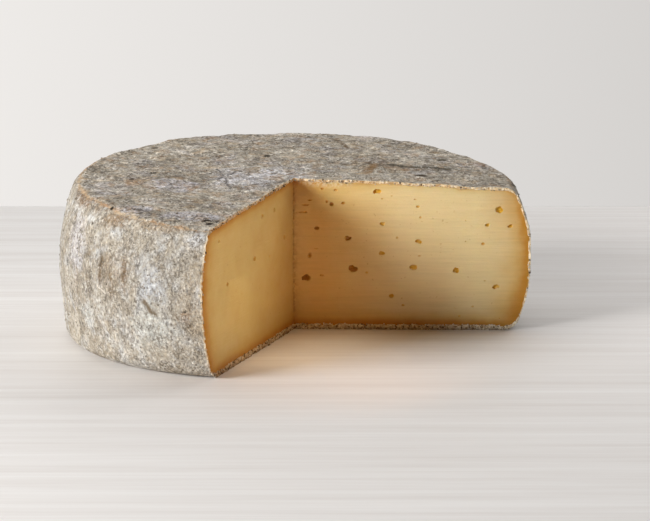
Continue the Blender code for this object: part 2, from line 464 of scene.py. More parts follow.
@dataclass
class Draft:
    """Points, faces and marks of a mesh while it is put together."""

    form: WheelForm
    points: list[Array] = field(default_factory=list)
    faces: list[tuple[int, ...]] = field(default_factory=list)
    marks: dict[Mark, list[Array]] = field(default_factory=dict)
    count: int = 0

    def add(self, points: Array, **marks: Array | float) -> Array:
        """Add points with their marks.

        Args:
            points: One row of three coordinates for each point.
            **marks: A value or an array of values for each mark, by its name.

        Returns:
            The new points' numbers.
        """
        size = len(points)
        self.points.append(points)
        for mark, width in ((Mark.PUSH, 3), (Mark.TEAR, 3), (Mark.TOP, 1), (Mark.BAND, 1)):
            given = np.asarray(marks.get(mark.value, 0.0), dtype=float)
            given = given[:, None] if width == 1 and given.ndim else given
            self.marks.setdefault(mark, []).append(np.broadcast_to(given, (size, width)))
        self.count += size
        return np.arange(self.count - size, self.count)

    def add_faces(self, faces: Iterable[Iterable[int]], turned: bool) -> None:
        """Add faces by their points' numbers, the other way round if turned."""
        self.faces += [tuple(face)[::-1] if turned else tuple(face) for face in faces]

    def place(self) -> Array:
        """Return all points so far as one array."""
        return np.vstack(self.points)

    def plan(self, cut: Cut, loop: Array) -> Array:
        """Return the distances and heights on a cut of the points of a loop."""
        return self.form.cut_plan(cut, self.place()[loop])

    def add_cut_face(self, cut: Cut, loop: Array, inner: Array, **marks: Array | float) -> None:
        """Fill a loop of points on a cut plane.

        Args:
            cut: Which of the two cuts.
            loop: The numbers of the loop's points in order.
            inner: Free points on the cut, as distance and height.
            **marks: Marks for the free points.
        """
        plan = self.plan(cut, loop)
        numbers = self.add(self.form.cut_place(cut, inner), **marks)
        order = np.concatenate([loop, numbers])
        self.add_faces(order[triangulate(plan, inner)], cut is Cut.LEFT)

    def object(self, name: str) -> Piece:
        """Make the mesh and its object, with the marks as vertex attributes.

        Args:
            name: The piece's name.

        Returns:
            The new object, linked to the scene.
        """
        mesh = bpy.data.meshes.new(name)
        mesh.from_pydata(self.place().tolist(), [], self.faces)
        for mark, blocks in self.marks.items():
            values = np.vstack(blocks)
            store_mark(mesh, mark, values if values.shape[1] == 3 else values[:, 0])
        mesh.validate()
        mesh.update()
        return link_object(name, mesh)


@dataclass
class Skin:
    """One closed-up surface of the wheel between the two cuts, at an inset."""

    form: WheelForm
    inset: Inset
    step: SkinStep
    flipped: bool = False
    seed: int = 1
    sink: float = 0.0
    calm: float = 1.0
    ease_reach: float = 0.004
    least_rounding: float = 0.2
    settling_rounds: int = 5
    end_columns: tuple[tuple[int, Cut], ...] = ((0, Cut.RIGHT), (-1, Cut.LEFT))
    loops: dict[Cut, Array] = field(default_factory=dict)

    def rows(self) -> Array:
        """Return the side's profile from the top face to the base.

        Returns:
            Rows of outer radius, outer height, inset radius and inset height.
        """
        form, inset = self.form, self.inset
        wall, ceiling = form.rim_radius - inset.side, form.height - inset.top
        rim, foot = form.rim_rounding, form.foot_rounding
        rim_in, foot_in = (max(r - inset.side, self.least_rounding * r) for r in (rim, foot))
        rim_centres = (form.rim_radius - rim, form.height - rim, wall - rim_in, ceiling - rim_in)
        foot_centres = (form.rim_radius - foot, foot, wall - foot_in, inset.base + foot_in)
        quarter = math.pi / 2
        arcs = []
        for centres, outer, inner, start in (
            (rim_centres, rim, rim_in, quarter), (foot_centres, foot, foot_in, 0.0),
        ):
            steps = max(3, round(outer * quarter / self.step.down))
            turns = np.linspace(start, start - quarter, steps + 1)
            circle = np.column_stack([np.cos(turns), np.sin(turns)])
            arcs.append(np.array(centres) + np.hstack([outer * circle, inner * circle]))
        upper, lower = arcs[0][-1], arcs[1][0]
        steps = max(4, round((upper[1] - lower[1]) / self.step.down))
        shares = np.linspace(0.0, 1.0, steps + 1)[1:-1, None]
        return np.vstack([arcs[0], upper + shares * (lower - upper), arcs[1]])

    def side_points(self) -> tuple[Array, Array, Array]:
        """Place the side's grid so that its end columns lie on the cuts.

        Returns:
            The points by row and column, their outward directions, and how much each
            faces up.
        """
        form = self.form
        rows = self.rows()
        sweep = form.left_bearing - form.right_bearing
        columns = max(8, round(sweep * form.rim_radius / self.step.across))
        heading = np.linspace(form.right_bearing, form.left_bearing, columns + 1)
        ray = np.stack([np.cos(heading), np.sin(heading)], axis=-1)[None]
        corner = form.corner()
        outer_radius, outer_height, radius, height = (rows[:, k:k + 1] for k in range(4))
        level = np.clip(height / form.height, 0.0, 1.0)
        bearing = np.broadcast_to(heading[None], (len(rows), columns + 1))
        for _ in range(self.settling_rounds):
            reach = form.reach(radius, bearing, level)
            share = (ray * corner).sum(-1)
            length = -share + np.sqrt(share**2 - (corner**2).sum() + reach**2)
            flat = corner + length[..., None] * ray
            bearing = np.arctan2(flat[..., 1], flat[..., 0])
        lift = form.lift(flat[..., 0], flat[..., 1], level)
        places = np.concatenate([flat, (height + lift)[..., None]], axis=-1)
        side = np.clip((outer_radius - form.rim_radius) / form.rim_rounding + 1.0, 0.0, 1.0)
        top = np.clip((outer_height - form.height) / form.rim_rounding + 1.0, 0.0, 1.0)
        fade = np.clip(outer_height / form.dent_fade_height, 0.0, 1.0)
        shape = bearing.shape
        push = np.stack([
            np.cos(bearing) * side * fade, np.sin(bearing) * side * fade,
            np.broadcast_to(top * fade, shape),
        ], axis=-1)
        dents = form.dent(places.reshape(-1, 3)).reshape(shape)
        places = places + push * dents[..., None]
        for column, cut in self.end_columns:
            facing = form.outward(cut)
            off = (places[:, column] - np.append(corner, 0.0)) @ facing
            places[:, column] -= off[:, None] * facing
        return places, push, np.broadcast_to(top, shape)

    def edge_run(self, end: Array) -> Array:
        """Lead flat points from the corner to an end, without either of them.

        Args:
            end: The flat place of the end.

        Returns:
            The points between.
        """
        start = self.form.corner()
        count = max(2, round(np.linalg.norm(end - start) / self.step.down))
        shares = np.linspace(0.0, 1.0, count + 1)[1:-1, None]
        return start + shares * (end - start)

    def settle(self, flat: Array, upward: bool) -> Array:
        """Raise flat places to the base or, with its dents, to the top face.

        Args:
            flat: The flat places.
            upward: True for the top face.

        Returns:
            The points, measured from the axis.
        """
        if not upward:
            return np.column_stack([flat, np.full(len(flat), self.inset.base)])
        ceiling = self.form.height - self.inset.top
        level = min(ceiling / self.form.height, 1.0)
        places = np.column_stack([flat, ceiling + self.form.lift(*flat.T, level)])
        places[:, 2] += self.form.dent(places)
        return places

    def build(self, draft: Draft) -> None:
        """Add the skin to a draft and note the loop of points on each cut.

        Args:
            draft: The mesh that takes the points and faces.
        """
        first_block = len(draft.points)
        places, push, top = self.side_points()
        numbers = draft.add(
            places.reshape(-1, 3) + self.form.origin(),
            push=push.reshape(-1, 3), top=top.ravel(),
        ).reshape(top.shape)
        upper, lower = numbers[:-1], numbers[1:]
        quads = np.stack([upper[:, :-1], lower[:, :-1], lower[:, 1:], upper[:, 1:]], axis=-1)
        draft.add_faces(quads.reshape(-1, 4), self.flipped)
        draw = random.Random(self.seed)
        upper_runs = self.close_face(draft, places[0], numbers[0], True, draw)
        lower_runs = self.close_face(draft, places[-1], numbers[-1], False, draw)
        self.ease_to_cuts(draft, first_block)
        for column, cut in self.end_columns:
            self.loops[cut] = np.concatenate([
                upper_runs[cut], numbers[:, column], lower_runs[cut][::-1],
            ])

    def ease_to_cuts(self, draft: Draft, first_block: int) -> None:
        """Let the skin lie deeper away from the cuts, and calm its relief beside them.

        Args:
            draft: The mesh that holds the skin's points.
            first_block: The number of the skin's first block of points.
        """
        corner = self.form.corner()
        ends = [corner + 2.0 * self.form.rim_radius * self.form.along(cut)[:2] for cut in Cut]
        line = np.array([ends[0], corner, ends[1]])
        for block in range(first_block, len(draft.points)):
            places, push = draft.points[block], draft.marks[Mark.PUSH][block]
            gap = outline_distance(places[:, :2] - self.form.origin()[:2], line)
            share = np.clip(gap / self.ease_reach, 0.0, 1.0)[:, None]
            share = share * share * (3.0 - 2.0 * share)
            draft.points[block] = places - push * share * self.sink
            draft.marks[Mark.PUSH][block] = push * (self.calm + (1.0 - self.calm) * share)

    def close_face(
        self, draft: Draft, ring: Array, ring_numbers: Array, upward: bool, draw: random.Random
    ) -> dict[Cut, Array]:
        """Fill the top face or the base.

        Args:
            draft: The mesh that takes the points and faces.
            ring: The places of the side's first or last row.
            ring_numbers: The same points' numbers in the draft.
            upward: True for the top face.
            draw: The source of the small shake of the inner points.

        Returns:
            For each cut, the numbers from the corner out to the ring, without the ring.
        """
        corner = self.form.corner()[None]
        right_run, left_run = (self.edge_run(ring[column, :2]) for column in (0, -1))
        outline = np.vstack([corner, right_run, ring[:, :2], left_run[::-1]])
        inner = fill_points(outline, self.step.top if upward else self.step.base, draw)
        painted_lit_pale = self.settle(np.vstack([corner, right_run, left_run, inner]), upward)
        top = 1.0 if upward else 0.0
        numbers = draft.add(painted_lit_pale + self.form.origin(), push=np.array([0.0, 0.0, top]), top=top)
        first, second = 1 + len(right_run), 1 + len(right_run) + len(left_run)
        order = np.concatenate([
            numbers[:first], ring_numbers, numbers[first:second][::-1], numbers[second:],
        ])
        draft.add_faces(order[triangulate(outline, inner)], upward == self.flipped)
        left_numbers = np.concatenate([numbers[:1], numbers[first:second]])
        return {Cut.RIGHT: numbers[:first], Cut.LEFT: left_numbers}


@dataclass(frozen=True)
class Value:
    """A node's output, which sums with numbers, vectors and other outputs."""

    sketch: "NodeSketch"
    socket: Socket

    def joined(self, name: str, other: object) -> "Value":
        """Return the outcome of an operation on this and the other."""
        return self.sketch.sum(name, self, other)

    __add__ = partialmethod(joined, 'ADD')
    __sub__ = partialmethod(joined, 'SUBTRACT')
    __mul__ = partialmethod(joined, 'MULTIPLY')
    __truediv__ = partialmethod(joined, 'DIVIDE')

    def __rsub__(self, other: object) -> "Value":
        """Return the other less this."""
        return self.sketch.sum('SUBTRACT', other, self)

    def is_vector(self) -> bool:
        """Tell whether this holds three numbers."""
        return self.socket.type in ('VECTOR', 'RGBA')

    def beside(self, name: str) -> "Value":
        """Return another output of the same node."""
        return self.sketch.out(self.socket.node, name)


class NodeSketch:
    """Adds nodes to a tree and joins them, so that a recipe reads like a formula."""

    def __init__(self, tree: NodeTree) -> None:
        """Start on a tree."""
        self.tree = tree

    def node(self, kind: str, **settings: object) -> Node:
        """Add a node.

        Args:
            kind: The node's type.
            **settings: Values of its own options.

        Returns:
            The node.
        """
        made = self.tree.nodes.new(kind)
        for name, value in settings.items():
            setattr(made, name, value)
        return made

    def feed(self, target: Socket, value: object) -> None:
        """Link a value to a socket, or set the socket if the value is a plain one.

        Args:
            target: The socket.
            value: What it gets, or None to leave it.
        """
        if isinstance(value, Value):
            self.tree.links.new(value.socket, target)
        elif value is not None:
            target.default_value = value

    def out(self, node: Node, name: str | None = None) -> Value:
        """Return a node's first enabled output, or the one of that name."""
        return Value(self, next(s for s in node.outputs if s.enabled and name in (None, s.name)))

    def call(self, kind: str, inputs: dict[str, object], **settings: object) -> Value:
        """Add a node and feed its enabled inputs.

        Args:
            kind: The node's type.
            inputs: A value for each input by its name.
            **settings: Values of the node's own options.

        Returns:
            Its first enabled output.
        """
        made = self.node(kind, **settings)
        for name, value in inputs.items():
            self.feed(next(s for s in made.inputs if s.name == name and s.enabled), value)
        return self.out(made)

    def sum(self, name: str, first: object, second: object = None, clamped: bool = False) -> Value:
        """Return a sum on numbers, or on vectors if one side is a vector.

        Args:
            name: The operation's name.
            first: The first side.
            second: The second side, where the operation has one.
            clamped: Whether to hold the result between 0 and 1.

        Returns:
            The result.
        """
        vectors = [
            isinstance(side, tuple) or isinstance(side, Value) and side.is_vector()
            for side in (first, second)
        ]
        scaled = name == 'MULTIPLY' and vectors == [True, False]
        kind = "ShaderNodeVectorMath" if any(vectors) else "ShaderNodeMath"
        made = self.node(kind, operation='SCALE' if scaled else name)
        if clamped:
            made.use_clamp = True
        self.feed(made.inputs[0], first)
        self.feed(made.inputs["Scale" if scaled else 1], second)
        return self.out(made)

    def span(self, value: object, low: object, high: object, start: object = 0.0,
             end: object = 1.0, curve: str = 'LINEAR') -> Value:
        """Return a value stretched from one range to another and held inside it."""
        inputs = {"Value": value, "From Min": low, "From Max": high, "To Min": start, "To Max": end}
        return self.call("ShaderNodeMapRange", inputs, interpolation_type=curve)

    def scale(self, size_mm: object) -> Value:
        """Return how many lumps of a size fit in a metre."""
        return self.sum('DIVIDE', 1.0 / MILLIMETRE, size_mm)

    def noise(self, place: object, size_mm: object, detail: float = 2.0, rough: float = 0.5,
              warp: float = 0.0) -> Value:
        """Return noise from 0 to 1 whose lumps have a size in millimetres."""
        inputs = {"Vector": place, "Scale": self.scale(size_mm), "Detail": detail, "Roughness": rough}
        return self.call("ShaderNodeTexNoise", {**inputs, "Distortion": warp})

    def swayed(self, place: Value, scale: object, reach: object, detail: float = 2.0) -> Value:
        """Return a place shaken by noise that has so many lumps in a metre."""
        wobble = self.call("ShaderNodeTexNoise", {"Vector": place, "Scale": scale, "Detail": detail})
        return place + (wobble.beside("Color") - (0.5, 0.5, 0.5)) * reach

    def split(self, place: Value, axis: int) -> Value:
        """Return one coordinate of a place."""
        made = self.call("ShaderNodeSeparateXYZ", {"Vector": place}).socket.node
        return Value(self, made.outputs[axis])

    def mix(self, share: object, first: object, second: object) -> Value:
        """Return a blend of two colours by the second one's share."""
        inputs = {"Factor": share, "A": first, "B": second}
        return self.call("ShaderNodeMix", inputs, data_type='RGBA')

    def ramp(self, share: object, stops: Stops) -> Value:
        """Read a colour from a ramp.

        Args:
            share: Where it is read.
            stops: The ramp's places and colours.

        Returns:
            The colour.
        """
        made = self.node("ShaderNodeValToRGB")
        self.feed(made.inputs[0], share)
        elements = made.color_ramp.elements
        while len(elements) < len(stops):
            elements.new(1.0)
        for element, (position, tint) in zip(elements, stops):
            element.position = position
            element.color = linear(tint)
        return self.out(made)


class GroupSketch(NodeSketch):
    """A node group being made, with its inputs at hand by name."""

    def __init__(self, name: str, kind: str, inputs: dict[str, object]) -> None:
        """Make the group and its inputs.

        Args:
            name: The group's name.
            kind: ShaderNodeTree or GeometryNodeTree.
            inputs: Each input's default value, or its socket type where it has none.
        """
        super().__init__(bpy.data.node_groups.new(name, kind))
        kinds = {float: "NodeSocketFloat", int: "NodeSocketInt", tuple: "NodeSocketVector"}
        for label, value in inputs.items():
            plain = not isinstance(value, str)
            made = self.tree.interface.new_socket(
                name=label, in_out='INPUT', socket_type=kinds[type(value)] if plain else value,
            )
            if plain:
                made.default_value = value
        entry = self.node("NodeGroupInput")
        self.given = {label: Value(self, entry.outputs[label]) for label in inputs}

    def close(self, kind: str, outputs: dict[str, Value]) -> NodeTree:
        """Give the group its outputs.

        Args:
            kind: The outputs' socket type.
            outputs: What each of them gives.

        Returns:
            The finished group.
        """
        for label in outputs:
            self.tree.interface.new_socket(name=label, in_out='OUTPUT', socket_type=kind)
        end = self.node("NodeGroupOutput")
        for label, value in outputs.items():
            self.feed(end.inputs[label], value)
        return self.tree


class PatternSketch(GroupSketch):
    """The recipes of the shader groups that several finishes share."""

    def mottle(self, place: Value, size: Value, contrast: Value, middle: Value) -> Masks:
        """Give soft clouds of a size, with a contrast round a middle."""
        raised = (self.noise(place, size, 4.0, 0.6, 0.3) - middle) * contrast
        return {"Mask": self.sum('ADD', raised, 0.5, clamped=True)}

    def fleck(self, place: Value, size: Value, share: Value, softness: Value) -> Masks:
        """Give scattered small marks that cover a share."""
        edge = self.span(share, 0.0, 1.0, 0.78, 0.22)
        return {"Mask": self.span(self.noise(place, size, 2.0, 0.55, 0.6), edge, edge + softness)}

    def gaps(self, place: Value, size: object) -> Value:
        """Return what breaks a net of lines into pieces."""
        return self.span(self.noise(place, size, 2.0), 0.42, 0.56)

    def crackle(self, place: Value, size: Value, width: Value) -> Masks:
        """Give a broken net of fine lines round cells.

        Args:
            place: Where it is read.
            size: The cells' size in millimetres.
            width: The lines' width, as a share of a cell.

        Returns:
            The mask of the lines.
        """
        shaken = self.swayed(place, 220.0, 0.006, 3.0)
        cells = {"Vector": shaken, "Scale": self.scale(size)}
        edge = self.call("ShaderNodeTexVoronoi", cells, feature='DISTANCE_TO_EDGE')
        return {"Mask": self.span(edge, width, 0.0) * self.gaps(place, 7.0)}

    def granule(self, place: Value, size: Value, sway: Value) -> Masks:
        """Give the shape of close uneven grains, and a tone for each.

        Args:
            place: Where they are read.
            size: Their size in millimetres.
            sway: How uneven they are, as a share of their size.

        Returns:
            The masks of the shape and of the tone.
        """
        scale = self.scale(size)
        cells = {"Vector": self.swayed(place, scale, sway / scale), "Scale": scale}
        reach = self.call("ShaderNodeTexVoronoi", cells, feature='F1')
        return {"Mask": self.span(reach, 0.72, 0.30), "Tone": self.split(reach.beside("Color"), 0)}

    def wrinkle(self, place: Value, size: Value, width: Value) -> Masks:
        """Give short curved lines, as on a dried skin."""
        off = self.sum('ABSOLUTE', self.noise(place, size, 2.0, 0.6, 0.6) - 0.5)
        return {"Mask": self.span(off, width, 0.0) * self.gaps(place, size * 2.7)}

    def spot(self, place: Value, centre: Value, radii: Value, fray: Value) -> Masks:
        """Give one frayed round patch at a place."""
        reach = self.sum('LENGTH', (place - centre) / radii) + fray
        return {"Mask": self.span(reach, 1.1, 0.45, 0.0, 1.0, 'SMOOTHSTEP')}

    def streak(self, place: Value, start: Value, end: Value, weight: Value, width: Value) -> Masks:
        """Give one frayed line between two places.

        Args:
            place: Where it is read.
            start: One end.
            end: The other end.
            weight: How much each direction counts.
            width: Its width in millimetres.

        Returns:
            The mask of the line.
        """
        run = (end - start) * weight
        offset = (place - start) * weight
        square = self.sum('DOT_PRODUCT', run, run)
        share = self.sum('DIVIDE', self.sum('DOT_PRODUCT', offset, run), square, clamped=True)
        far = self.sum('LENGTH', offset - run * share) / (width * MILLIMETRE)
        ends = self.span(share * (1.0 - share), 0.0, 0.12)
        return {"Mask": self.span(far, 1.0, 0.1, 0.0, 1.0, 'SMOOTHSTEP') * ends}


PATTERN_INPUTS: dict[str, dict[str, object]] = {
    "mottle": {"Size mm": 5.0, "Contrast": 2.0, "Middle": 0.5},
    "fleck": {"Size mm": 1.0, "Share": 0.3, "Softness": 0.08},
    "crackle": {"Size mm": 6.0, "Width": 0.05},
    "granule": {"Size mm": 1.5, "Sway": 0.8},
    "wrinkle": {"Size mm": 2.2, "Width": 0.045},
    "spot": {"Centre": (0.0, 0.0, 0.0), "Radii": (0.02, 0.02, 0.02), "Fray": 0.0},
    "streak": {
        "Start": (0.0, 0.0, 0.0), "End": (0.01, 0.0, 0.0), "Weight": (1.0, 1.0, 1.0), "Width mm": 1.0,
    },
}


@cache
def pattern_tree(name: str) -> NodeTree:
    """Build a shared group when it is first asked for.

    Args:
        name: The pattern's name.

    Returns:
        The group.
    """
    inputs = {"Place": (0.0, 0.0, 0.0), **PATTERN_INPUTS[name]}
    sketch = PatternSketch(name, "ShaderNodeTree", inputs)
    masks = getattr(sketch, name)(*sketch.given.values())
    return sketch.close("NodeSocketFloat", masks)


class Coat(NodeSketch):
    """A material being made: its colour so far, and the shared pattern groups at hand."""

    def __init__(self, name: str) -> None:
        """Start a material that has a Principled shader.

        Args:
            name: The material's name.
        """
        self.material = bpy.data.materials.new(name)
        self.material.use_nodes = True
        super().__init__(self.material.node_tree)
        self.shader = self.tree.nodes["Principled BSDF"]
        self.place = self.out(self.node("ShaderNodeTexCoord"), "Object")
        self.colour = self.place

    def pattern(self, name: str, *values: object) -> Value:
        """Place a shared group.

        Args:
            name: The pattern's name.
            *values: Values for its inputs in order. The others keep their defaults.

        Returns:
            Its mask.
        """
        made = self.node("ShaderNodeGroup", node_tree=pattern_tree(name))
        for target, value in zip(made.inputs, values):
            self.feed(target, value)
        return self.out(made)

    mottle = partialmethod(pattern, "mottle")
    fleck = partialmethod(pattern, "fleck")
    crackle = partialmethod(pattern, "crackle")
    granule = partialmethod(pattern, "granule")
    wrinkle = partialmethod(pattern, "wrinkle")
    spot = partialmethod(pattern, "spot")
    streak = partialmethod(pattern, "streak")

    def mark(self, mark: Mark) -> Value:
        """Return a mark of the piece."""
        return self.out(self.node("ShaderNodeAttribute", attribute_name=mark.value), "Fac")

    def level(self, axis: int) -> Value:
        """Return one of the object coordinates."""
        return self.split(self.place, axis)

    def paint(self, tint: Tint, mask: Value, strength: float = 1.0) -> None:
        """Lay a tint over the colour where a mask is strong."""
        share = mask if strength == 1.0 else mask * strength
        self.colour = self.mix(share, self.colour, linear(tint))

    def shade(self, level: Value) -> None:
        """Make the colour darker or lighter."""
        self.colour = self.colour * level

    def grain(self, grain: Value, low: float, high: float) -> None:
        """Make the colour darker and lighter by a grain from 0 to 1."""
        self.shade(self.span(grain, 0.2, 0.8, low, high))

    def dress(self, **values: object) -> Material:
        """Feed the colour and other values to the shader.

        Args:
            **values: A value for each other socket, by its name with underscores for spaces.

        Returns:
            The material.
        """
        self.feed(self.shader.inputs["Base Color"], self.colour)
        for name, value in values.items():
            self.feed(self.shader.inputs[name.replace("_", " ")], value)
        return self.material

    def bump(self, height: Value, distance: float, strength: float) -> Value:
        """Return the normal that a height from 0 to 1 gives."""
        inputs = {"Strength": strength, "Distance": distance, "Height": height}
        return self.call("ShaderNodeBump", inputs)


@dataclass(frozen=True)
class Spot:
    """A patch of the rind that has its own colour. Its place and size are millimetres."""

    centre: Triple
    radii: Triple
    tint: Tint
    fray: float
    strength: float = 1.0


@dataclass(frozen=True)
class Streak:
    """A crack or a scratch in the rind. Its ends and width are millimetres."""

    start: Triple
    end: Triple
    width: float
    tint: Tint
    strength: float
    weight: Triple = (1.0, 1.0, 0.05)


# The place where four of the top's cracks meet, and the directions that a crack on an upright
# side is measured in.
CRACK_HEART = (-32.2, -3.9, 70.5)
FACING_FRONT = (1.0, 0.05, 1.0)
FACING_RIGHT = (0.05, 1.0, 1.0)


@dataclass(frozen=True)
class RindFinish:
    """The dry natural rind: cream and grey at the side, taupe and lilac grey on top."""

    side_stops: Stops = (
        (0.30, (158, 146, 128)), (0.44, (174, 164, 148)), (0.58, (184, 176, 163)),
        (0.72, (190, 188, 183)),
    )
    top_stops: Stops = (
        (0.30, (112, 105, 94)), (0.45, (155, 146, 132)), (0.58, (172, 163, 149)),
        (0.72, (190, 184, 176)),
    )
    mould_white: Tint = (205, 209, 213)
    mould_lilac: Tint = (178, 174, 182)
    earth: Tint = (134, 112, 84)
    straw: Tint = (204, 187, 158)
    # Dark colour of the rind's fine lines and flecks, also painted as contact shade at the foot of the
    # torn edge.
    soot_and_shade: Tint = (84, 75, 64)
    grain_white: Tint = (232, 228, 219)
    gap_grey: Tint = (98, 88, 72)
    pit_dark: Tint = (62, 54, 44)
    side_gain: float = 0.93
    top_gain: float = 1.42
    split_shift: Triple = (0.007, 0.041, 0.019)
    ridge_shift: Triple = (0.031, 0.017, 0.023)
    # Tan and orange of the rim line, which is partly wear and partly a painted highlight.
    rim_tan: Tint = (222, 196, 160)
    rim_orange: Tint = (188, 146, 104)
    rim_brown: Tint = (128, 100, 70)
    torn_stops: Stops = (
        (0.0, (104, 84, 64)), (0.25, (196, 174, 142)), (0.5, (226, 212, 186)), (1.0, (242, 235, 222)),
    )
    warm_stops: Stops = (
        (0.0, (184, 142, 96)), (0.2, (226, 190, 138)), (0.45, (240, 218, 178)), (1.0, (250, 240, 220)),
    )
    side_spots: tuple[Spot, ...] = (
        Spot((-76.5, -77.4, 44), (10, 10, 11), (146, 122, 92), 1.0, 0.55),
        Spot((-71.2, -82.2, 46), (2.2, 2.2, 12), (118, 92, 62), 0.3),
        Spot((-77.5, -76.6, 37), (2.0, 2.0, 8), (122, 98, 70), 0.4, 0.9),
        Spot((-82.4, -71.4, 43), (2.2, 2.2, 10), (112, 88, 58), 0.3),
        Spot((-87.9, -64.6, 34), (2.6, 3, 8), (108, 96, 80), 0.4, 0.9),
        Spot((-60.5, -90.3, 41), (9, 8, 8), (207, 211, 217), 0.7, 0.9),
        Spot((-59.0, -90.5, 23), (13, 11, 11), (206, 207, 201), 0.7, 0.9),
        Spot((-93.7, -53.5, 50), (6, 12, 16), (209, 206, 212), 0.6, 0.7),
        Spot((-89.3, -61.2, 22), (6, 6, 7), (200, 204, 204), 0.6, 0.7),
        Spot((-41.5, -93.9, 60), (7, 6, 4), (216, 218, 222), 0.6, 0.7),
        Spot((-74.1, -70.3, 64), (10, 9, 4), (142, 114, 82), 0.8, 0.9),
        Spot((-55.0, -84.0, 64), (14, 9, 3.5), (184, 160, 130), 0.8, 0.9),
        Spot((-41.0, -99.0, 36), (8, 6, 22), (208, 187, 158), 0.8, 0.4),
        Spot((-44.9, -97.9, 29), (3, 3, 3), (140, 106, 70), 0.5, 0.9),
        Spot((-90.5, -43.0, 68.5), (9, 20, 4.8), (122, 91, 60), 0.2),
        Spot((85.0, 56.0, 40), (15, 15, 18), (205, 209, 214), 0.7, 0.8),
        Spot((-10.0, 100.0, 30), (14, 10, 10), (134, 108, 78), 0.8, 0.8),
        Spot((45.0, 90.0, 26), (16, 12, 14), (207, 210, 214), 0.8, 0.9),
        Spot((-75.0, 70.0, 40), (14, 14, 18), (207, 209, 212), 0.8, 0.9),
    )
    top_spots: tuple[Spot, ...] = (
        Spot((-52.7, -19.3, 70), (14, 12, 20), (186, 182, 191), 0.6),
        Spot((-22.0, -7.0, 70), (20, 26, 20), (198, 196, 202), 0.6),
        Spot((-6.0, 6.0, 70), (16, 14, 20), (196, 194, 199), 0.6),
        Spot((-65.6, -65.3, 68), (8, 6, 20), (190, 188, 198), 0.6),
        Spot((-44.0, -72.0, 67), (16, 7, 20), (186, 183, 190), 0.7),
        Spot((-72.1, -17.7, 71), (6, 7, 20), (158, 120, 82), 0.7),
        Spot((30.0, 50.0, 72), (14, 16, 20), (150, 136, 112), 0.7, 0.7),
        Spot((55.0, 25.0, 70), (25, 8.5, 20), (92, 84, 67), 0.5),
    )
    # Dark spots painted where the top has pits: painted shade in the pits.
    pits: tuple[Spot, ...] = (
        Spot((-77.2, -63.9, 67.9), (1.1, 1.3, 1.4), (56, 46, 34), 0.1),
        Spot((-64.0, -1.6, 71.9), (1.7, 2.2, 5), (70, 61, 47), 0.25),
        Spot((-13.9, 38.3, 72.6), (2.0, 2.4, 5), (62, 55, 43), 0.25),
        Spot((-66.3, 47.8, 74.7), (2.1, 2.2, 5), (92, 83, 68), 0.25),
        Spot((-72.5, -12.6, 71.3), (1.6, 2.2, 5), (78, 62, 46), 0.25),
        Spot((56.2, 8.9, 68.6), (3.6, 2.4, 5), (70, 57, 43), 0.3),
        Spot((67.3, 44.4, 69.6), (3.0, 2.4, 5), (84, 76, 60), 0.35),
    )
    # Dark patches painted over clusters of pits: painted shade in them.
    pit_nest_shades: tuple[Spot, ...] = (
        Spot((-34.6, -78.5, 65.7), (5.2, 8.0, 8), (44, 34, 24), 0.15),
        Spot((33.0, 29.0, 70.3), (12.0, 17.0, 8), (104, 86, 62), 0.4, 0.8),
    )
    cracks: tuple[Streak, ...] = (
        Streak(CRACK_HEART, (-36.1, 15.1, 71.1), 1.0, (88, 83, 82), 0.8),
        Streak(CRACK_HEART, (-28.2, -26.8, 69.0), 1.0, (88, 83, 82), 0.8),
        Streak(CRACK_HEART, (-42.0, -13.5, 69.9), 1.2, (84, 80, 80), 0.9),
        Streak(CRACK_HEART, (-26.2, 11.1, 71.0), 1.0, (84, 80, 80), 0.9),
        Streak((18.1, 79.3, 73.5), (24.6, 59.5, 71.7), 1.8, (112, 90, 62), 0.9),
        Streak((36.2, 27.9, 70.7), (30.9, 7.3, 69.4), 3.6, (146, 116, 80), 1.0),
        Streak((38.0, 29.0, 70.6), (74.0, 22.5, 69.0), 3.6, (80, 72, 57), 1.0),
        Streak((-63.7, -88.6, 34.3), (-57.3, -92.2, 27.5), 2.0, (112, 98, 80), 1.0, FACING_FRONT),
        Streak((-83.5, -70.5, 36.1), (-79.4, -74.9, 32.3), 0.6, (224, 214, 200), 0.7, FACING_FRONT),
        Streak((99.0, 30.0, 48.0), (96.0, 37.0, 25.0), 0.9, (124, 106, 84), 0.9, FACING_RIGHT),
        Streak((-50.0, 89.0, 50.0), (-35.0, 95.0, 38.0), 1.0, (120, 102, 80), 0.9, FACING_FRONT),
    )

    def material(self) -> Material:
        """Build the rind's material.

        Returns:
            The material, which reads the piece's top and band marks.
        """
        coat = Coat("rind")
        place = coat.place
        level = coat.mark(Mark.TOP) + (coat.noise(place, 2.5, 3.0) - 0.5) * 0.35
        self.paint_side(coat)
        side = coat.colour
        self.paint_top(coat)
        coat.colour = coat.mix(coat.span(level, 0.74, 0.86), side, coat.colour)
        self.paint_rim(coat, level)
        # Painted shade in the pits and pit clusters.
        self.spot(coat, self.pits, 1.0, 2.5)
        self.spot(coat, self.pit_nest_shades, coat.fleck(place, 2.0, 0.50, 0.04), 4.0)
        self.crack(coat)
        self.paint_torn(coat)
        rough = coat.span(coat.mottle(place, 3.0, 2.0), 0.0, 1.0, 0.78, 0.98)
        height = coat.granule(place, 1.35) * 0.4 + coat.noise(place, 0.9, 3.0, 0.65) * 0.9
        normal = coat.bump(height, 0.0007, 0.65)
        return coat.dress(Roughness=rough, Specular_IOR_Level=0.2, Normal=normal)

    def spot(self, coat: Coat, spots: tuple[Spot, ...], speckle: object,
             ragged_mm: float = 9.0) -> None:
        """Lay frayed patches over the colour.

        Args:
            coat: The material being made.
            spots: The patches.
            speckle: How strongly they show, a value or a pattern.
            ragged_mm: The size of the lumps of their outline.
        """
        wobble = coat.noise(coat.place, ragged_mm, 4.0, 0.65) - 0.5
        for spot in spots:
            fray = wobble * (3.0 * spot.fray)
            mask = coat.spot(coat.place, metres(spot.centre), metres(spot.radii), fray)
            coat.paint(spot.tint, mask * speckle, spot.strength)

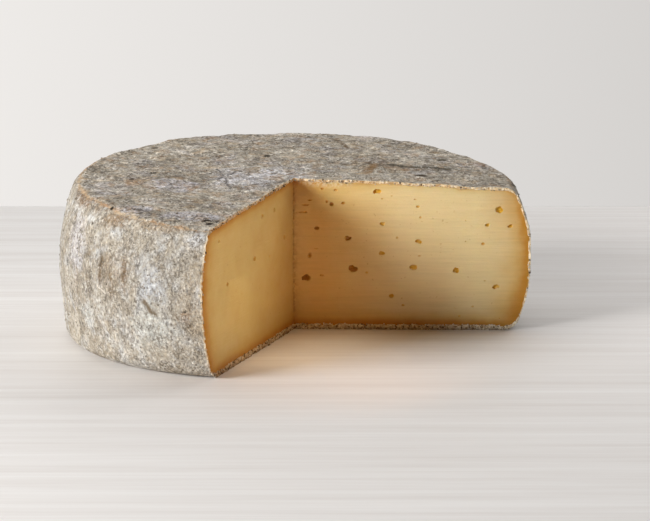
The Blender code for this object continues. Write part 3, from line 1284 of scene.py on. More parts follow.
    def crack(self, coat: Coat) -> None:
        """Draw the cracks and scratches over the colour.

        Args:
            coat: The material being made.
        """
        swayed = coat.swayed(coat.place, 160.0, 0.004)
        broken = coat.span(coat.noise(coat.place, 2.4, 3.0, 0.6), 0.34, 0.50, 0.3, 1.0)
        for crack in self.cracks:
            ends = metres(crack.start), metres(crack.end)
            line = coat.streak(swayed, *ends, crack.weight, crack.width)
            coat.paint(crack.tint, line * broken, crack.strength)

    def break_up(self, coat: Coat, place: Value, coarse: float, fine: float) -> None:
        """Break the colour into light grains with dark gaps between them.

        Args:
            coat: The material being made.
            place: Where the pattern is read.
            coarse: The coarse grains' size in millimetres.
            fine: The fine grains' size.
        """
        coarse_tone = coat.granule(place, coarse).beside("Tone")
        shape = coat.granule(place, fine)
        tone = shape.beside("Tone")
        coat.shade(coat.span(coarse_tone, 0.0, 1.0, 0.92, 1.08))
        coat.shade(coat.span(tone, 0.0, 1.0, 0.86, 1.14))
        coat.paint(self.grain_white, coat.span(tone, 0.72, 0.85) * shape, 0.18)
        gate = coat.span(coat.noise(place, 4.5, 3.0), 0.38, 0.60, 0.25, 1.0)
        coat.paint(self.gap_grey, (1.0 - shape) * gate, 0.45)
        ridges = coat.wrinkle(place + self.ridge_shift, 1.3 * fine, 0.045)
        coat.paint(self.grain_white, ridges, 0.40)
        coat.paint(self.soot_and_shade, coat.wrinkle(place, 1.5 * fine, 0.06), 0.75)
        coat.grain(coat.noise(place, fine * 0.7, 3.0, 0.7, 0.4), 0.53, 1.46)

    def paint_side(self, coat: Coat) -> None:
        """Make the speckled cream grey of the side, with painted light towards the foot and near the
        top.

        Args:
            coat: The material being made.
        """
        place = coat.place
        drips = place * (1.0, 1.0, 0.78)
        speckle = coat.span(coat.noise(drips, 1.6, 3.0, 0.7), 0.36, 0.56, 0.22, 0.85)
        coat.colour = coat.ramp(coat.noise(drips, 12.0, 6.0, 0.70, 0.4), self.side_stops)
        coat.paint(self.mould_white, coat.mottle(drips, 7.0, 5.0, 0.58), 0.5)
        clusters = coat.mottle(drips, 3.6, 6.0, 0.55) * coat.mottle(place, 20.0, 5.0, 0.53)
        coat.paint(self.earth, clusters * speckle, 0.85)
        self.spot(coat, self.side_spots, speckle)
        coat.paint(self.straw, coat.fleck(drips, 2.2, 0.40, 0.15), 0.3)
        self.break_up(coat, drips, 3.2, 1.35)
        coat.paint(self.soot_and_shade, coat.fleck(drips, 1.1, 0.30, 0.05), 0.6)
        height = coat.level(UP)
        # Painted light: the side is made up to a fifth lighter towards the foot and up to an eighth
        # lighter near the top.
        foot = coat.span(height, 0.0, 0.040, 0.20, 0.0)
        shoulder_painted_light = coat.span(height, 0.046, 0.062, 0.0, 0.12)
        coat.shade(foot + shoulder_painted_light + self.side_gain)

    def paint_top(self, coat: Coat) -> None:
        """Make the darker taupe grey of the top with its patches and crackle, with painted light that
        makes it up to a tenth lighter towards the back.

        Args:
            coat: The material being made.
        """
        place = coat.place
        speckle = coat.span(coat.noise(place, 2.2, 3.0, 0.7), 0.36, 0.56, 0.28, 0.8)
        coat.colour = coat.ramp(coat.noise(place, 13.0, 6.0, 0.70, 0.4), self.top_stops)
        coat.paint(self.mould_lilac, coat.mottle(place, 16.0, 5.0, 0.60), 0.5)
        self.spot(coat, self.top_spots, speckle)
        coat.paint(self.straw, coat.mottle(place, 3.4, 7.0, 0.60), 0.25)
        coat.paint(self.earth, coat.mottle(place, 6.0, 7.0, 0.64), 0.3)
        coat.paint(self.soot_and_shade, coat.crackle(place, 7.0, 0.07), 0.6)
        self.break_up(coat, place, 6.0, 2.4)
        coat.grain(coat.noise(place, 5.0, 4.0, 0.7, 0.6), 0.80, 1.22)
        splits = coat.wrinkle(place + self.split_shift, 6.0, 0.060)
        coat.paint(self.pit_dark, splits * coat.mottle(place, 12.0, 6.0, 0.46), 0.85)
        coat.paint(self.soot_and_shade, coat.fleck(place, 2.2, 0.29, 0.05), 0.75)
        # Painted light: the top's gain rises by a tenth towards the back.
        back = coat.level(BACK)
        coat.shade(coat.span(back, -0.06, 0.09, self.top_gain, self.top_gain * 1.10))

    def paint_rim(self, coat: Coat, level: Value) -> None:
        """Draw the broken tan line of the rim over the colour: partly wear, partly a painted highlight
        along the edge.

        Args:
            coat: The material being made.
            level: How far a place faces up.
        """
        place = coat.place
        off = coat.sum('ABSOLUTE', level - 0.78)
        width = coat.span(coat.noise(place, 6.0, 3.0), 0.38, 0.62, 0.08, 0.36)
        # The tan line along the edge between side and top: partly wear, partly a painted highlight
        # where the edge catches the light.
        worn_and_highlight = coat.span(off, width, 0.01) * coat.mottle(place, 2.6, 6.0, 0.44)
        tan = coat.mix(coat.mottle(place, 9.0, 5.0), linear(self.rim_tan), linear(self.rim_orange))
        coat.colour = coat.mix(worn_and_highlight * 0.8, coat.colour, tan)
        below = coat.span(level, 0.0, 0.7) * coat.span(level, 0.9, 0.75)
        coat.paint(self.rim_brown, below * coat.mottle(place, 2.4, 7.0, 0.56), 0.65)
        coat.paint(self.soot_and_shade, coat.span(off, 0.25, 0.1) * coat.fleck(place, 1.5, 0.30), 0.7)

    def paint_torn(self, coat: Coat) -> None:
        """Lay the cut edge of the rind over the colour, with painted contact shade along its foot.

        Args:
            coat: The material being made.
        """
        whole = coat.colour
        flecks = coat.mottle(coat.place, 1.4, 2.6)
        high = coat.span(coat.level(UP), 0.004, 0.012)
        warm = coat.ramp(flecks, self.warm_stops)
        coat.colour = coat.mix(high, coat.ramp(flecks, self.torn_stops), warm)
        # Painted shade: the torn edge is darkened within 1.4 mm of the floor, as a contact shadow.
        coat.paint(self.soot_and_shade, coat.span(coat.level(UP), 0.0014, 0.0004), 0.6)
        band = coat.span(coat.mark(Mark.BAND), 0.1, 0.9)
        coat.colour = coat.mix(band, whole, coat.colour)


@dataclass(frozen=True)
class PasteFinish:
    """The ivory paste, amber under the rind, with glossier yellow eyes, and painted light and shade on
    the cut faces.
    """

    warm: Tint = (225, 199, 127)
    ivory: Tint = (231, 210, 140)
    pale: Tint = (235, 217, 151)
    # A paler colour painted away from the notch and a darker amber painted towards it: painted light
    # and shade.
    painted_lit_pale: Tint = (242, 222, 178)
    notch_shade_tint: Tint = (226, 150, 52)
    honey: Tint = (218, 175, 88)
    amber: Tint = (198, 133, 34)
    crumbled: Tint = (244, 226, 188)
    eye_wall: Tint = (222, 174, 82)
    # Painted shade darkening the bottoms of the eyes, and painted light making the eyes far out on the
    # right cut a brighter gold.
    eye_painted_shade: Tint = (156, 92, 28)
    eye_painted_light: Tint = (218, 168, 46)
    mark_brown: Tint = (118, 70, 34)
    speck: Tint = (186, 138, 72)
    # Darker amber along the corner line, partly torn paste and partly painted shade, and a patch of
    # painted shade at the corner's top.
    corner_tear_and_shade: Tint = (170, 112, 54)
    corner_shade_centre: Triple = (-0.0012, -0.0024, 0.0660)
    corner_shade_radii: Triple = (0.0110, 0.0160, 0.0130)
    soft_reach: float = 0.004
    soft_radius: Triple = (1.0, 0.62, 0.25)

    def material(self) -> Material:
        """Build the paste's material.

        Returns:
            The material, which reads the piece's depth, eye and corner marks.
        """
        coat = Coat("paste")
        place = coat.place
        stops = ((0.0, self.warm), (0.5, self.ivory), (1.0, self.pale))
        coat.colour = coat.ramp(coat.mottle(place, 12.0, 1.6), stops)
        self.ripen(coat)
        self.tear(coat)
        across = coat.level(ACROSS)
        lines = coat.span(self.knife_lines(coat), 0.3, 0.7, -0.04, 0.04)
        # Painted shade and light: the paste is up to a fifth darker within 2 cm of the base, and up to
        # 6 % lighter at the far end of the left cut.
        low = coat.span(coat.level(UP), 0.020, 0.002, 0.0, -0.20)
        painted_light_and_shade = coat.span(across, -0.016, -0.034, 1.0, 1.06) + low
        coat.shade(lines * coat.span(across, -0.002, 0.006) + painted_light_and_shade)
        eye = coat.mark(Mark.EYE)
        coat.paint(self.eye_wall, coat.span(eye, 0.05, 0.9))
        # Painted shade: each eye is darker towards its bottom.
        coat.paint(self.eye_painted_shade, coat.span(eye, 0.7, 1.0), 0.6)
        # Painted light: eyes far out on the right cut get a brighter gold.
        eye_painted_light_mask = coat.span(eye, 0.2, 0.8) * coat.span(across, 0.026, 0.036)
        coat.paint(self.eye_painted_light, eye_painted_light_mask, 0.85)
        smooth = coat.span(coat.noise(place, 4.0, 3.0), 0.3, 0.7, 0.42, 0.58)
        height = self.knife_lines(coat) + coat.noise(place, 0.8, 3.0, 0.6) * 0.4
        return coat.dress(
            Roughness=smooth - eye * 0.2, Normal=coat.bump(height, 0.00022, 0.6),
            Subsurface_Weight=0.35, Subsurface_Scale=self.soft_reach,
            Subsurface_Radius=self.soft_radius, Specular_IOR_Level=0.3,
        )

    def knife_lines(self, coat: Coat) -> Value:
        """Return the fine level lines that the knife drew."""
        return coat.noise(coat.place * (0.05, 0.12, 1.0), 1.0, 3.0, 0.6)

    def ripen(self, coat: Coat) -> None:
        """Paint shade on the paste towards the notch's corner and light away from it, and lay honey and
        amber under the rind.

        Args:
            coat: The material being made.
        """
        across, height = coat.level(ACROSS), coat.level(UP)
        # Painted shade and light: darker amber towards the notch's corner, paler away from it, and less
        # amber in a patch near the top of the right cut where light falls. The amber bands under the
        # rind also widen towards the corner.
        notch_shade_zone = coat.span(across, 0.046, 0.012)
        painted_light_patch = coat.span(height, 0.048, 0.062) * coat.span(across, 0.003, 0.016)
        unlit_share = 1.0 - painted_light_patch * 0.5
        coat.paint(self.painted_lit_pale, 1.0 - notch_shade_zone, 0.6)
        coat.paint(self.notch_shade_tint, notch_shade_zone * coat.span(across, -0.020, 0.008) * unlit_share, 0.40)
        depth = coat.mark(Mark.DEPTH) + (coat.noise(coat.place, 7.0, 3.0) - 0.5) * 2.4
        broad = coat.span(height, 0.0, 0.066, 11.0, coat.span(notch_shade_zone, 0.0, 1.0, 3.6, 9.0))
        narrow = coat.span(height, 0.0, 0.066, 5.6, coat.span(notch_shade_zone, 0.0, 1.0, 1.7, 4.2))
        far = coat.span(depth, broad, 1.0, 0.0, 1.0, 'SMOOTHSTEP')
        near = coat.span(depth, narrow, 0.8, 0.0, 1.0, 'SMOOTHSTEP')
        share = coat.span(height, 0.0, 0.066, 0.8, 0.7) * unlit_share
        coat.paint(self.honey, far * share)
        coat.paint(self.amber, near * unlit_share, 0.9)
        end = coat.span(height, 0.036, 0.058, 0.2, 0.6)
        coat.paint(self.amber, coat.span(across, 0.080, 0.102, 0.0, end))

    def tear(self, coat: Coat) -> None:
        """Add the flaky paste near the seam, the specks, and the marks of the torn corner, with painted
        shade along the corner line and at its top.

        Args:
            coat: The material being made.
        """
        place, across = coat.place, coat.level(ACROSS)
        flaky = coat.span(across, 0.026, 0.021) * coat.span(across, -0.002, 0.006)
        flaky = flaky * coat.span(coat.mark(Mark.DEPTH), 4.0, 1.8)
        flaky = flaky * coat.span(coat.level(UP), 0.050, 0.056)
        coat.paint(self.crumbled, flaky * coat.mottle(place, 1.3, 5.0, 0.46), 0.85)
        coat.paint(self.speck, coat.fleck(place, 1.3, 0.16, 0.05), 0.4)
        # Darker amber along the corner line: partly the torn paste, partly painted shade in the corner.
        corner = coat.mark(Mark.TONE)
        coat.paint(self.corner_tear_and_shade, corner * coat.mottle(place, 1.6, 4.0), 0.6)
        marks = coat.span(corner, 0.3, 0.8) * coat.fleck(place, 1.4, 0.45, 0.08)
        coat.paint(self.mark_brown, marks, 0.2)
        # Painted shade: a darker patch at the top of the corner line.
        coat.paint(self.corner_tear_and_shade, coat.spot(place, self.corner_shade_centre, self.corner_shade_radii), 0.25)


@dataclass(frozen=True)
class CrumbFinish:
    """Loose crumbs and mould grains, each with a tone of its own."""

    name: str
    stops: Stops
    roughness: float = 0.9

    def material(self) -> Material:
        """Build a material that picks a colour by each crumb's tone.

        Returns:
            The material, which reads the piece's tone mark.
        """
        coat = Coat(self.name)
        place = coat.place
        tone = coat.mark(Mark.TONE) + (coat.mottle(place, 0.6, 2.0) - 0.5) * 0.2
        coat.colour = coat.ramp(tone, self.stops)
        low = self.roughness - 0.15
        rough = coat.span(coat.noise(place, 0.8), 0.3, 0.7, low, self.roughness)
        normal = coat.bump(coat.noise(place, 0.4, 3.0), 0.0002, 0.8)
        return coat.dress(Roughness=rough, Specular_IOR_Level=0.25, Normal=normal)


@dataclass(frozen=True)
class FloorFinish:
    """The pale floor, with a faint grain."""

    stops: Stops = ((0.0, (226, 220, 215)), (1.0, (245, 242, 239)))

    def material(self) -> Material:
        """Build the floor's material.

        Returns:
            The material.
        """
        coat = Coat("floor")
        grain = coat.place * (0.03, 1.0, 1.0)
        fine = (coat.noise(grain, 2.2, 4.0, 0.7) - 0.5) * 0.9
        coat.colour = coat.ramp(coat.mottle(grain, 8.0, 1.5) + fine, self.stops)
        return coat.dress(Roughness=0.6, Specular_IOR_Level=0.2)


class Recipe(GroupSketch):
    """A Geometry Nodes tree that is run on an object and worked into its mesh."""

    def __init__(self, name: str, values: dict[str, float | int]) -> None:
        """Start a tree that takes geometry, its own inputs and a material.

        Args:
            name: The tree's name.
            values: A value for each of its own inputs.
        """
        super().__init__(name, "GeometryNodeTree", {
            "Geometry": "NodeSocketGeometry", **values, "Material": "NodeSocketMaterial",
        })
        self.values = values

    def attribute(self, mark: Mark, vector: bool = False) -> Value:
        """Return a mark of the geometry, a number or a vector."""
        inputs = {"Name": mark.value}
        return self.call("GeometryNodeInputNamedAttribute", inputs, data_type=DATA_TYPES[vector])

    def position(self) -> Value:
        """Return the place of each point."""
        return self.out(self.node("GeometryNodeInputPosition"))

    def normal(self) -> Value:
        """Return the direction that each point faces."""
        return self.out(self.node("GeometryNodeInputNormal"), "Normal")

    def ball(self, rounds: int) -> Value:
        """Return a faceted ball of radius 1, whose facets were split so many times."""
        return self.call("GeometryNodeMeshIcoSphere", {"Radius": 1.0, "Subdivisions": rounds})

    def random(self, low: object, high: object, offset: int) -> Value:
        """Return a random number or vector for each element, by the seed and an offset."""
        inputs = {"Min": low, "Max": high, "Seed": self.given["Seed"] + float(offset)}
        return self.call("FunctionNodeRandomValue", inputs, data_type=DATA_TYPES[type(low) is tuple])

    def toned(self, instances: Value, tone: Value) -> Value:
        """Return instances as geometry, each with a tone of its own.

        Args:
            instances: The instances.
            tone: A number for each.

        Returns:
            The geometry, with its tone mark.
        """
        noted = self.call("GeometryNodeStoreNamedAttribute", {
            "Geometry": instances, "Name": Mark.TONE.value, "Value": tone,
        }, data_type=DATA_TYPES[False], domain='INSTANCE')
        return self.call("GeometryNodeRealizeInstances", {"Geometry": noted})

    def moved(self, geometry: Value, **places: Value) -> Value:
        """Return geometry whose points have a new Position or got an Offset."""
        return self.call("GeometryNodeSetPosition", {"Geometry": geometry, **places})

    def run(self, geometry: Value, item: Piece, material: Material) -> None:
        """End the tree with real instances and one material, and work it into a mesh.

        Args:
            geometry: What the tree makes.
            item: The object, whose mesh is the tree's first input.
            material: What the result is made of.
        """
        real = self.call("GeometryNodeRealizeInstances", {"Geometry": geometry})
        dressed = self.call("GeometryNodeSetMaterial", {
            "Geometry": real, "Material": self.given["Material"],
        })
        tree = self.close("NodeSocketGeometry", {"Geometry": dressed})
        modifier = item.modifiers.new(tree.name, 'NODES')
        modifier.node_group = tree
        values = {**self.values, "Material": material}
        for socket in tree.interface.items_tree:
            if socket.in_out == 'INPUT' and socket.name in values:
                modifier[socket.identifier] = values[socket.name]
        bake_modifiers(item)


@dataclass
class RindCrust:
    """The rind as one closed shell: a rough outer skin, a plain inner one and torn cut edges."""

    form: WheelForm
    finish: RindFinish
    inset: Inset = Inset(0.0013, 0.0017, 0.0026)
    outer_step: SkinStep = SkinStep(0.0008, 0.0008, 0.00105, 0.0030)
    inner_step: SkinStep = SkinStep(0.0050, 0.0040, 0.0080, 0.0080)
    outer_seed: int = 3
    inner_seed: int = 4
    band_seed: int = 5
    band_spacing: float = 0.00045
    lump_height: float = 0.0005
    grain_height: float = 0.0004
    drip_height: float = 0.0003
    pit_depth: float = 0.0005
    tear_height: float = 0.0009
    recess: float = 0.0003
    settle: float = 0.00045
    inner_sink: float = 0.0009
    edge_calm: float = 0.5
    outer_band: float = 0.7
    inner_band: float = 2.0
    sharp_angle: float = math.radians(60.0)

    def build(self) -> Piece:
        """Build, roughen and dress the rind.

        Returns:
            The finished piece.
        """
        draft = Draft(self.form)
        outer = Skin(
            self.form, Inset(), self.outer_step, seed=self.outer_seed, calm=self.edge_calm,
        )
        inner = Skin(
            self.form, self.inset, self.inner_step, flipped=True, seed=self.inner_seed,
            sink=self.inner_sink,
        )
        outer.build(draft)
        first_inner = draft.count
        inner.build(draft)
        for mark in (Mark.PUSH, Mark.TOP):
            values = np.vstack(draft.marks[mark])
            values[first_inner:] = 0.0
            draft.marks[mark] = [values]
        draw = random.Random(self.band_seed)
        for cut in Cut:
            loop = np.concatenate([outer.loops[cut], inner.loops[cut][::-1]])
            between = fill_points(draft.plan(cut, loop), self.band_spacing, draw)
            draft.add_cut_face(cut, loop, between, band=1.0, tear=self.form.outward(cut))
        piece = draft.object("rind_crust")
        self.mark_bands(piece.data, outer, inner)
        self.roughen(piece)
        piece.data.shade_smooth()
        piece.data.set_sharp_from_angle(angle=self.sharp_angle)
        return piece

    def mark_bands(self, mesh: Mesh, outer: Skin, inner: Skin) -> None:
        """Mark the loops on the cuts, so that the torn edges start there.

        Args:
            mesh: The crust's mesh.
            outer: Its outer skin.
            inner: Its inner skin.
        """
        band, tear = read_mark(mesh, Mark.BAND), read_mark(mesh, Mark.TEAR)
        for cut in Cut:
            for skin, value in ((outer, self.outer_band), (inner, self.inner_band)):
                band[skin.loops[cut]] = value
                tear[skin.loops[cut]] += self.form.outward(cut)
        store_mark(mesh, Mark.BAND, band)
        store_mark(mesh, Mark.TEAR, tear)

    def roughen(self, piece: Piece) -> None:
        """Push the crust into lumps, drips, grains and pits, and dress it.

        Args:
            piece: The plain shell.
        """
        recipe = Recipe("rind_relief", {
            "Lump Height": self.lump_height, "Grain Height": self.grain_height,
            "Drip Height": self.drip_height, "Pit Depth": self.pit_depth,
            "Tear Height": self.tear_height, "Recess": self.recess, "Settle": self.settle,
        })
        given, place = recipe.given, recipe.position()
        total = given["Settle"] * -1.0
        for value, name in (
            (recipe.noise(place, 9.0, 3.0), "Lump Height"),
            (recipe.noise(place, 2.4, 3.0, 0.6), "Grain Height"),
            (recipe.noise(place * (1.0, 1.0, 0.25), 4.0, 3.0), "Drip Height"),
        ):
            total = total + (value - 0.5) * given[name] * 2.0
        holes = recipe.span(recipe.noise(place, 3.0, 2.0, 0.5, 0.5), 0.62, 0.72)
        rise = recipe.attribute(Mark.PUSH, True) * (total - holes * given["Pit Depth"])
        ragged = recipe.span(recipe.noise(place, 2.2, 3.0, 0.65), 0.32, 0.68)
        lip = recipe.span(recipe.attribute(Mark.BAND), 1.0, self.inner_band, 1.0, 0.0)
        jut = ragged * lip * given["Tear Height"] - given["Recess"]
        offset = rise + recipe.attribute(Mark.TEAR, True) * jut
        moved = recipe.moved(given["Geometry"], Offset=offset)
        recipe.run(moved, piece, self.finish.material())


@dataclass(frozen=True)
class Eye:
    """A small gas hole on a cut face: its place, and its width and height."""

    along: float
    up: float
    width: float
    height: float


def eyes(*rows: tuple[float, float, float, float]) -> tuple[Eye, ...]:
    """Make eyes from rows of millimetres."""
    return tuple(Eye(*metres(row)) for row in rows)


RIGHT_EYES = eyes(
    (5.5, 23.6, 4.6, 2.7), (26.5, 28.0, 4.2, 2.8), (24.5, 42.0, 3.0, 2.0), (7.2, 34.0, 2.1, 2.4),
    (10.2, 46.5, 2.3, 1.8), (17.1, 57.5, 2.4, 1.6), (37.3, 63.5, 3.6, 2.2),
)
LEFT_EYES = eyes(
    (37.4, 59.0, 3.0, 2.1), (23.6, 59.2, 2.7, 2.0), (11.1, 44.7, 3.0, 2.1), (46.5, 42.0, 3.0, 2.1),
    (29.3, 39.5, 2.2, 1.4), (77.0, 37.4, 2.2, 1.8), (86.0, 57.5, 2.2, 1.1),
)
RIGHT_SLITS = eyes(
    (5.2, 57.2, 3.6, 1.0), (3.6, 53.8, 4.8, 0.7), (7.4, 59.4, 2.2, 0.9), (13.0, 64.6, 2.0, 1.0),
    (18.8, 64.0, 1.8, 0.9), (22.2, 58.0, 1.8, 1.2), (15.0, 58.8, 1.3, 1.3), (10.0, 37.2, 2.2, 0.7),
    (12.6, 24.9, 1.8, 1.1),
)
LEFT_SLITS = eyes((51.2, 65.5, 1.2, 0.6), (62.0, 30.0, 1.2, 0.9), (31.0, 18.0, 1.1, 0.8))


@dataclass(frozen=True)
class EyeScatter:
    """How many eyes the seeded scatter adds on a cut, their sizes, and how far they keep off."""

    count: int
    nearest: float
    smallest: float
    largest: float
    seed: int
    margin: float = 0.008
    gap: float = 0.0045
    tries: int = 2000
    least_height: float = 0.50
    most_height: float = 0.95


@dataclass(frozen=True)
class FaceLook:
    """How thick a cut's eyes are, how the depth under the rind is measured, and their shade."""

    thickness: float
    squeeze: float
    shade: float


LOOKS = {Cut.RIGHT: FaceLook(0.8, 0.4, 1.0), Cut.LEFT: FaceLook(0.45, 0.5, 0.6)}


@dataclass
class PasteBody:
    """The paste as one closed solid with two cut faces and the eyes sunk in them."""

    form: WheelForm
    finish: PasteFinish
    inset: Inset = Inset(0.0008, 0.0012, 0.0019)
    sink: float = 0.0009
    step: SkinStep = SkinStep(0.0030, 0.0009, 0.0060, 0.0060)
    skin_seed: int = 6
    face_seed: int = 8
    face_spacing: float = 0.0014
    edge: tuple[float, float] = (0.0007, 0.0040)
    wave_height: float = 0.00012
    wave_length: float = 0.018
    wave_fade: float = 0.006
    groove_depth: float = 0.00015
    tear_height: float = 0.00025
    tear_reach: float = 0.0016
    tear_length: float = 0.0018
    least_tear: float = 0.02
    eye_sink: float = 0.15
    eye_roundness: float = 1.4
    eye_lumps: float = 0.9
    shallow_reach: tuple[float, float] = (0.028, 0.036)
    shallow_depth: float = 0.6
    shade_depth: float = 0.0008
    face_reach: float = 0.004
    face_slack: float = 1e-4
    line_slack: float = 1e-5
    big_eyes: EyeScatter = EyeScatter(13, 0.036, 0.0016, 0.0036, 7)
    small_eyes: EyeScatter = EyeScatter(16, 0.030, 0.0008, 0.0015, 9, 0.005, 0.0015)
    sharp_angle: float = math.radians(35.0)

    def build(self) -> Piece:
        """Build, cut and dress the paste.

        Returns:
            The finished piece.
        """
        draft = Draft(self.form)
        skin = Skin(self.form, self.inset, self.step, seed=self.skin_seed, sink=self.sink)
        skin.build(draft)
        outlines = {}
        draw = random.Random(self.face_seed)
        upright = self.add_corner_line(draft, skin)
        for cut in Cut:
            loop = np.concatenate([skin.loops[cut], upright[::-1]])
            plan = draft.plan(cut, loop)
            outlines[cut] = plan[:len(skin.loops[cut])]
            draft.add_cut_face(cut, loop, fill_points(plan, self.face_spacing, draw, self.edge))
        piece = draft.object("paste_body")
        for mark in draft.marks:
            piece.data.attributes.remove(piece.data.attributes[mark.value])
        self.sink_eyes(piece)
        self.mark_depths(piece.data, outlines)
        self.wave_faces(piece.data)
        piece.data.materials.clear()
        piece.data.materials.append(self.finish.material())
        piece.data.shade_smooth()
        piece.data.set_sharp_from_angle(angle=self.sharp_angle)
        return piece

    def add_corner_line(self, draft: Draft, skin: Skin) -> Array:
        """Add the points of the upright line where the cuts meet, from the top down.

        Args:
            draft: The mesh that takes them.
            skin: The paste's skin, which has the line's two ends.

        Returns:
            The new points' numbers.
        """
        ends = skin.loops[Cut.RIGHT][[0, -1]]
        high, low = draft.place()[ends, 2]
        heights = np.linspace(high, low, round((high - low) / self.face_spacing) + 1)[1:-1]
        return draft.add(np.array([self.form.corner_place(height) for height in heights]))

    def fits(self, eye: Eye, others: list[Eye], plan: EyeScatter) -> bool:
        """Tell whether an eye of the right cut lies well inside the paste and clear of others.

        Args:
            eye: The new eye.
            others: The eyes that are there already.
            plan: How far eyes keep off.

        Returns:
            True if it fits.
        """
        form = self.form
        x, y, _ = form.along(Cut.RIGHT)
        slope = form.top_slope_x * x + form.top_slope_y * y
        if not plan.margin <= eye.up <= form.height + slope * eye.along - plan.margin:
            return False
        if eye.along > form.side_reach(form.right_bearing, eye.up) - plan.margin:
            return False
        gaps = (
            math.hypot(eye.along - o.along, eye.up - o.up) - 0.5 * (eye.width + o.width)
            for o in others
        )
        return all(gap >= plan.gap for gap in gaps)

    def scatter(self, found: list[Eye], plan: EyeScatter) -> None:
        """Add eyes of a size range at random places of the right cut that fit.

        Args:
            found: The eyes so far, which gets the new ones.
            plan: How many, how large and how far apart.
        """
        draw = random.Random(plan.seed)
        wanted = len(found) + plan.count
        for _ in range(plan.tries):
            if len(found) == wanted:
                return
            width = draw.uniform(plan.smallest, plan.largest)
            height = width * draw.uniform(plan.least_height, plan.most_height)
            along = draw.uniform(plan.nearest, self.form.rim_radius)
            eye = Eye(along, draw.uniform(0.0, self.form.height), width, height)
            if self.fits(eye, found, plan):
                found.append(eye)

    def all_eyes(self) -> dict[Cut, list[Eye]]:
        """Gather the eyes of both cuts.

        Returns:
            The eyes by cut.
        """
        right = list(RIGHT_EYES)
        self.scatter(right, self.big_eyes)
        right += RIGHT_SLITS
        self.scatter(right, self.small_eyes)
        return {Cut.RIGHT: right, Cut.LEFT: list(LEFT_EYES + LEFT_SLITS)}

    def grow_blobs(self, points: Piece) -> None:
        """Set a lumpy flattened blob on each point.

        Args:
            points: The points, with their size and facing marks.
        """
        recipe = Recipe("eye_blobs", {"Lumps": self.eye_lumps, "Seed": self.big_eyes.seed})
        given = recipe.given
        turn = recipe.node("FunctionNodeEulerToRotation")
        recipe.feed(turn.inputs[0], recipe.attribute(Mark.FACING, True))
        size = recipe.attribute(Mark.SIZE, True)
        placed = recipe.call("GeometryNodeInstanceOnPoints", {
            "Points": given["Geometry"], "Instance": recipe.ball(3),
            "Rotation": recipe.out(turn), "Scale": size,
        })
        real = recipe.toned(placed, recipe.sum('LENGTH', size))
        shaken = recipe.position() + recipe.sum('MULTIPLY', (1.0, 0.3, 0.6), given["Seed"])
        lump = (recipe.noise(shaken, 1.7, 2.0) - 0.5) * given["Lumps"]
        offset = recipe.normal() * (lump * recipe.attribute(Mark.TONE))
        moved = recipe.moved(real, Offset=offset)
        recipe.run(moved, points, bpy.data.materials.new("eye_cutter"))

    def sink_eyes(self, piece: Piece) -> None:
        """Cut all the eyes into the two faces with one Boolean.

        Args:
            piece: The paste.
        """
        places, sizes, turns = [], [], []
        for cut, holes in self.all_eyes().items():
            plan = np.array([(eye.along, eye.up) for eye in holes])
            widths = np.array([min(eye.width, self.eye_roundness * eye.height) for eye in holes])
            depths = 0.5 * LOOKS[cut].thickness * widths
            if cut is Cut.RIGHT:
                depths *= np.interp(plan[:, 0], self.shallow_reach, (1.0, self.shallow_depth))
            sunk = depths[:, None] * self.eye_sink * -self.form.outward(cut)
            places.append(self.form.cut_place(cut, plan) + sunk)
            sizes += [(0.5 * e.width, d, 0.5 * e.height) for e, d in zip(holes, depths)]
            turns += [(0.0, 0.0, self.form.bearing(cut))] * len(holes)
        mesh = bpy.data.meshes.new("eye_points")
        mesh.from_pydata(np.vstack(places).tolist(), [], [])
        store_mark(mesh, Mark.SIZE, np.array(sizes))
        store_mark(mesh, Mark.FACING, np.array(turns))
        blobs = link_object("eye_points", mesh)
        self.grow_blobs(blobs)
        cutter = piece.modifiers.new("eyes", 'BOOLEAN')
        cutter.operation = 'DIFFERENCE'
        cutter.solver = 'EXACT'
        cutter.object = blobs
        bake_modifiers(piece)
        bpy.data.objects.remove(blobs, do_unlink=True)

    def near_face(self, cut: Cut, places: Array, slack: float) -> tuple[Array, Array, Array]:
        """Find the points on a cut face and in its eyes.

        Args:
            cut: Which of the two cuts.
            places: The paste's points.
            slack: How far past the corner they may lie.

        Returns:
            Which points they are, and for each of them its depth behind the face and its
            place on the cut.
        """
        behind, plan = self.form.behind(cut, places), self.form.cut_plan(cut, places)
        near = (behind > -self.face_slack) & (behind < self.face_reach) & (plan[:, 0] > -slack)
        return near, behind[near], plan[near]

    def mark_depths(self, mesh: Mesh, outlines: dict[Cut, Array]) -> None:
        """Mark each vertex with its depth under the rind, and how far it lies inside an eye.

        Args:
            mesh: The paste's mesh.
            outlines: The line of the rind on each cut.
        """
        places = vertex_places(mesh)
        depth = np.full(len(places), self.inset.side / MILLIMETRE)
        shade = np.zeros(len(places))
        for cut in Cut:
            look = LOOKS[cut]
            near, behind, plan = self.near_face(cut, places, self.line_slack)
            squeeze = np.array([look.squeeze, 1.0])
            gap = outline_distance(plan * squeeze, outlines[cut] * squeeze) / MILLIMETRE
            depth[near] = gap + self.inset.side / MILLIMETRE
            inside = np.clip(behind / self.shade_depth, 0.0, 1.0)
            shade[near] = np.where(gap > 1.0, inside * look.shade, 0.0)
        store_mark(mesh, Mark.DEPTH, depth)
        store_mark(mesh, Mark.EYE, shade)

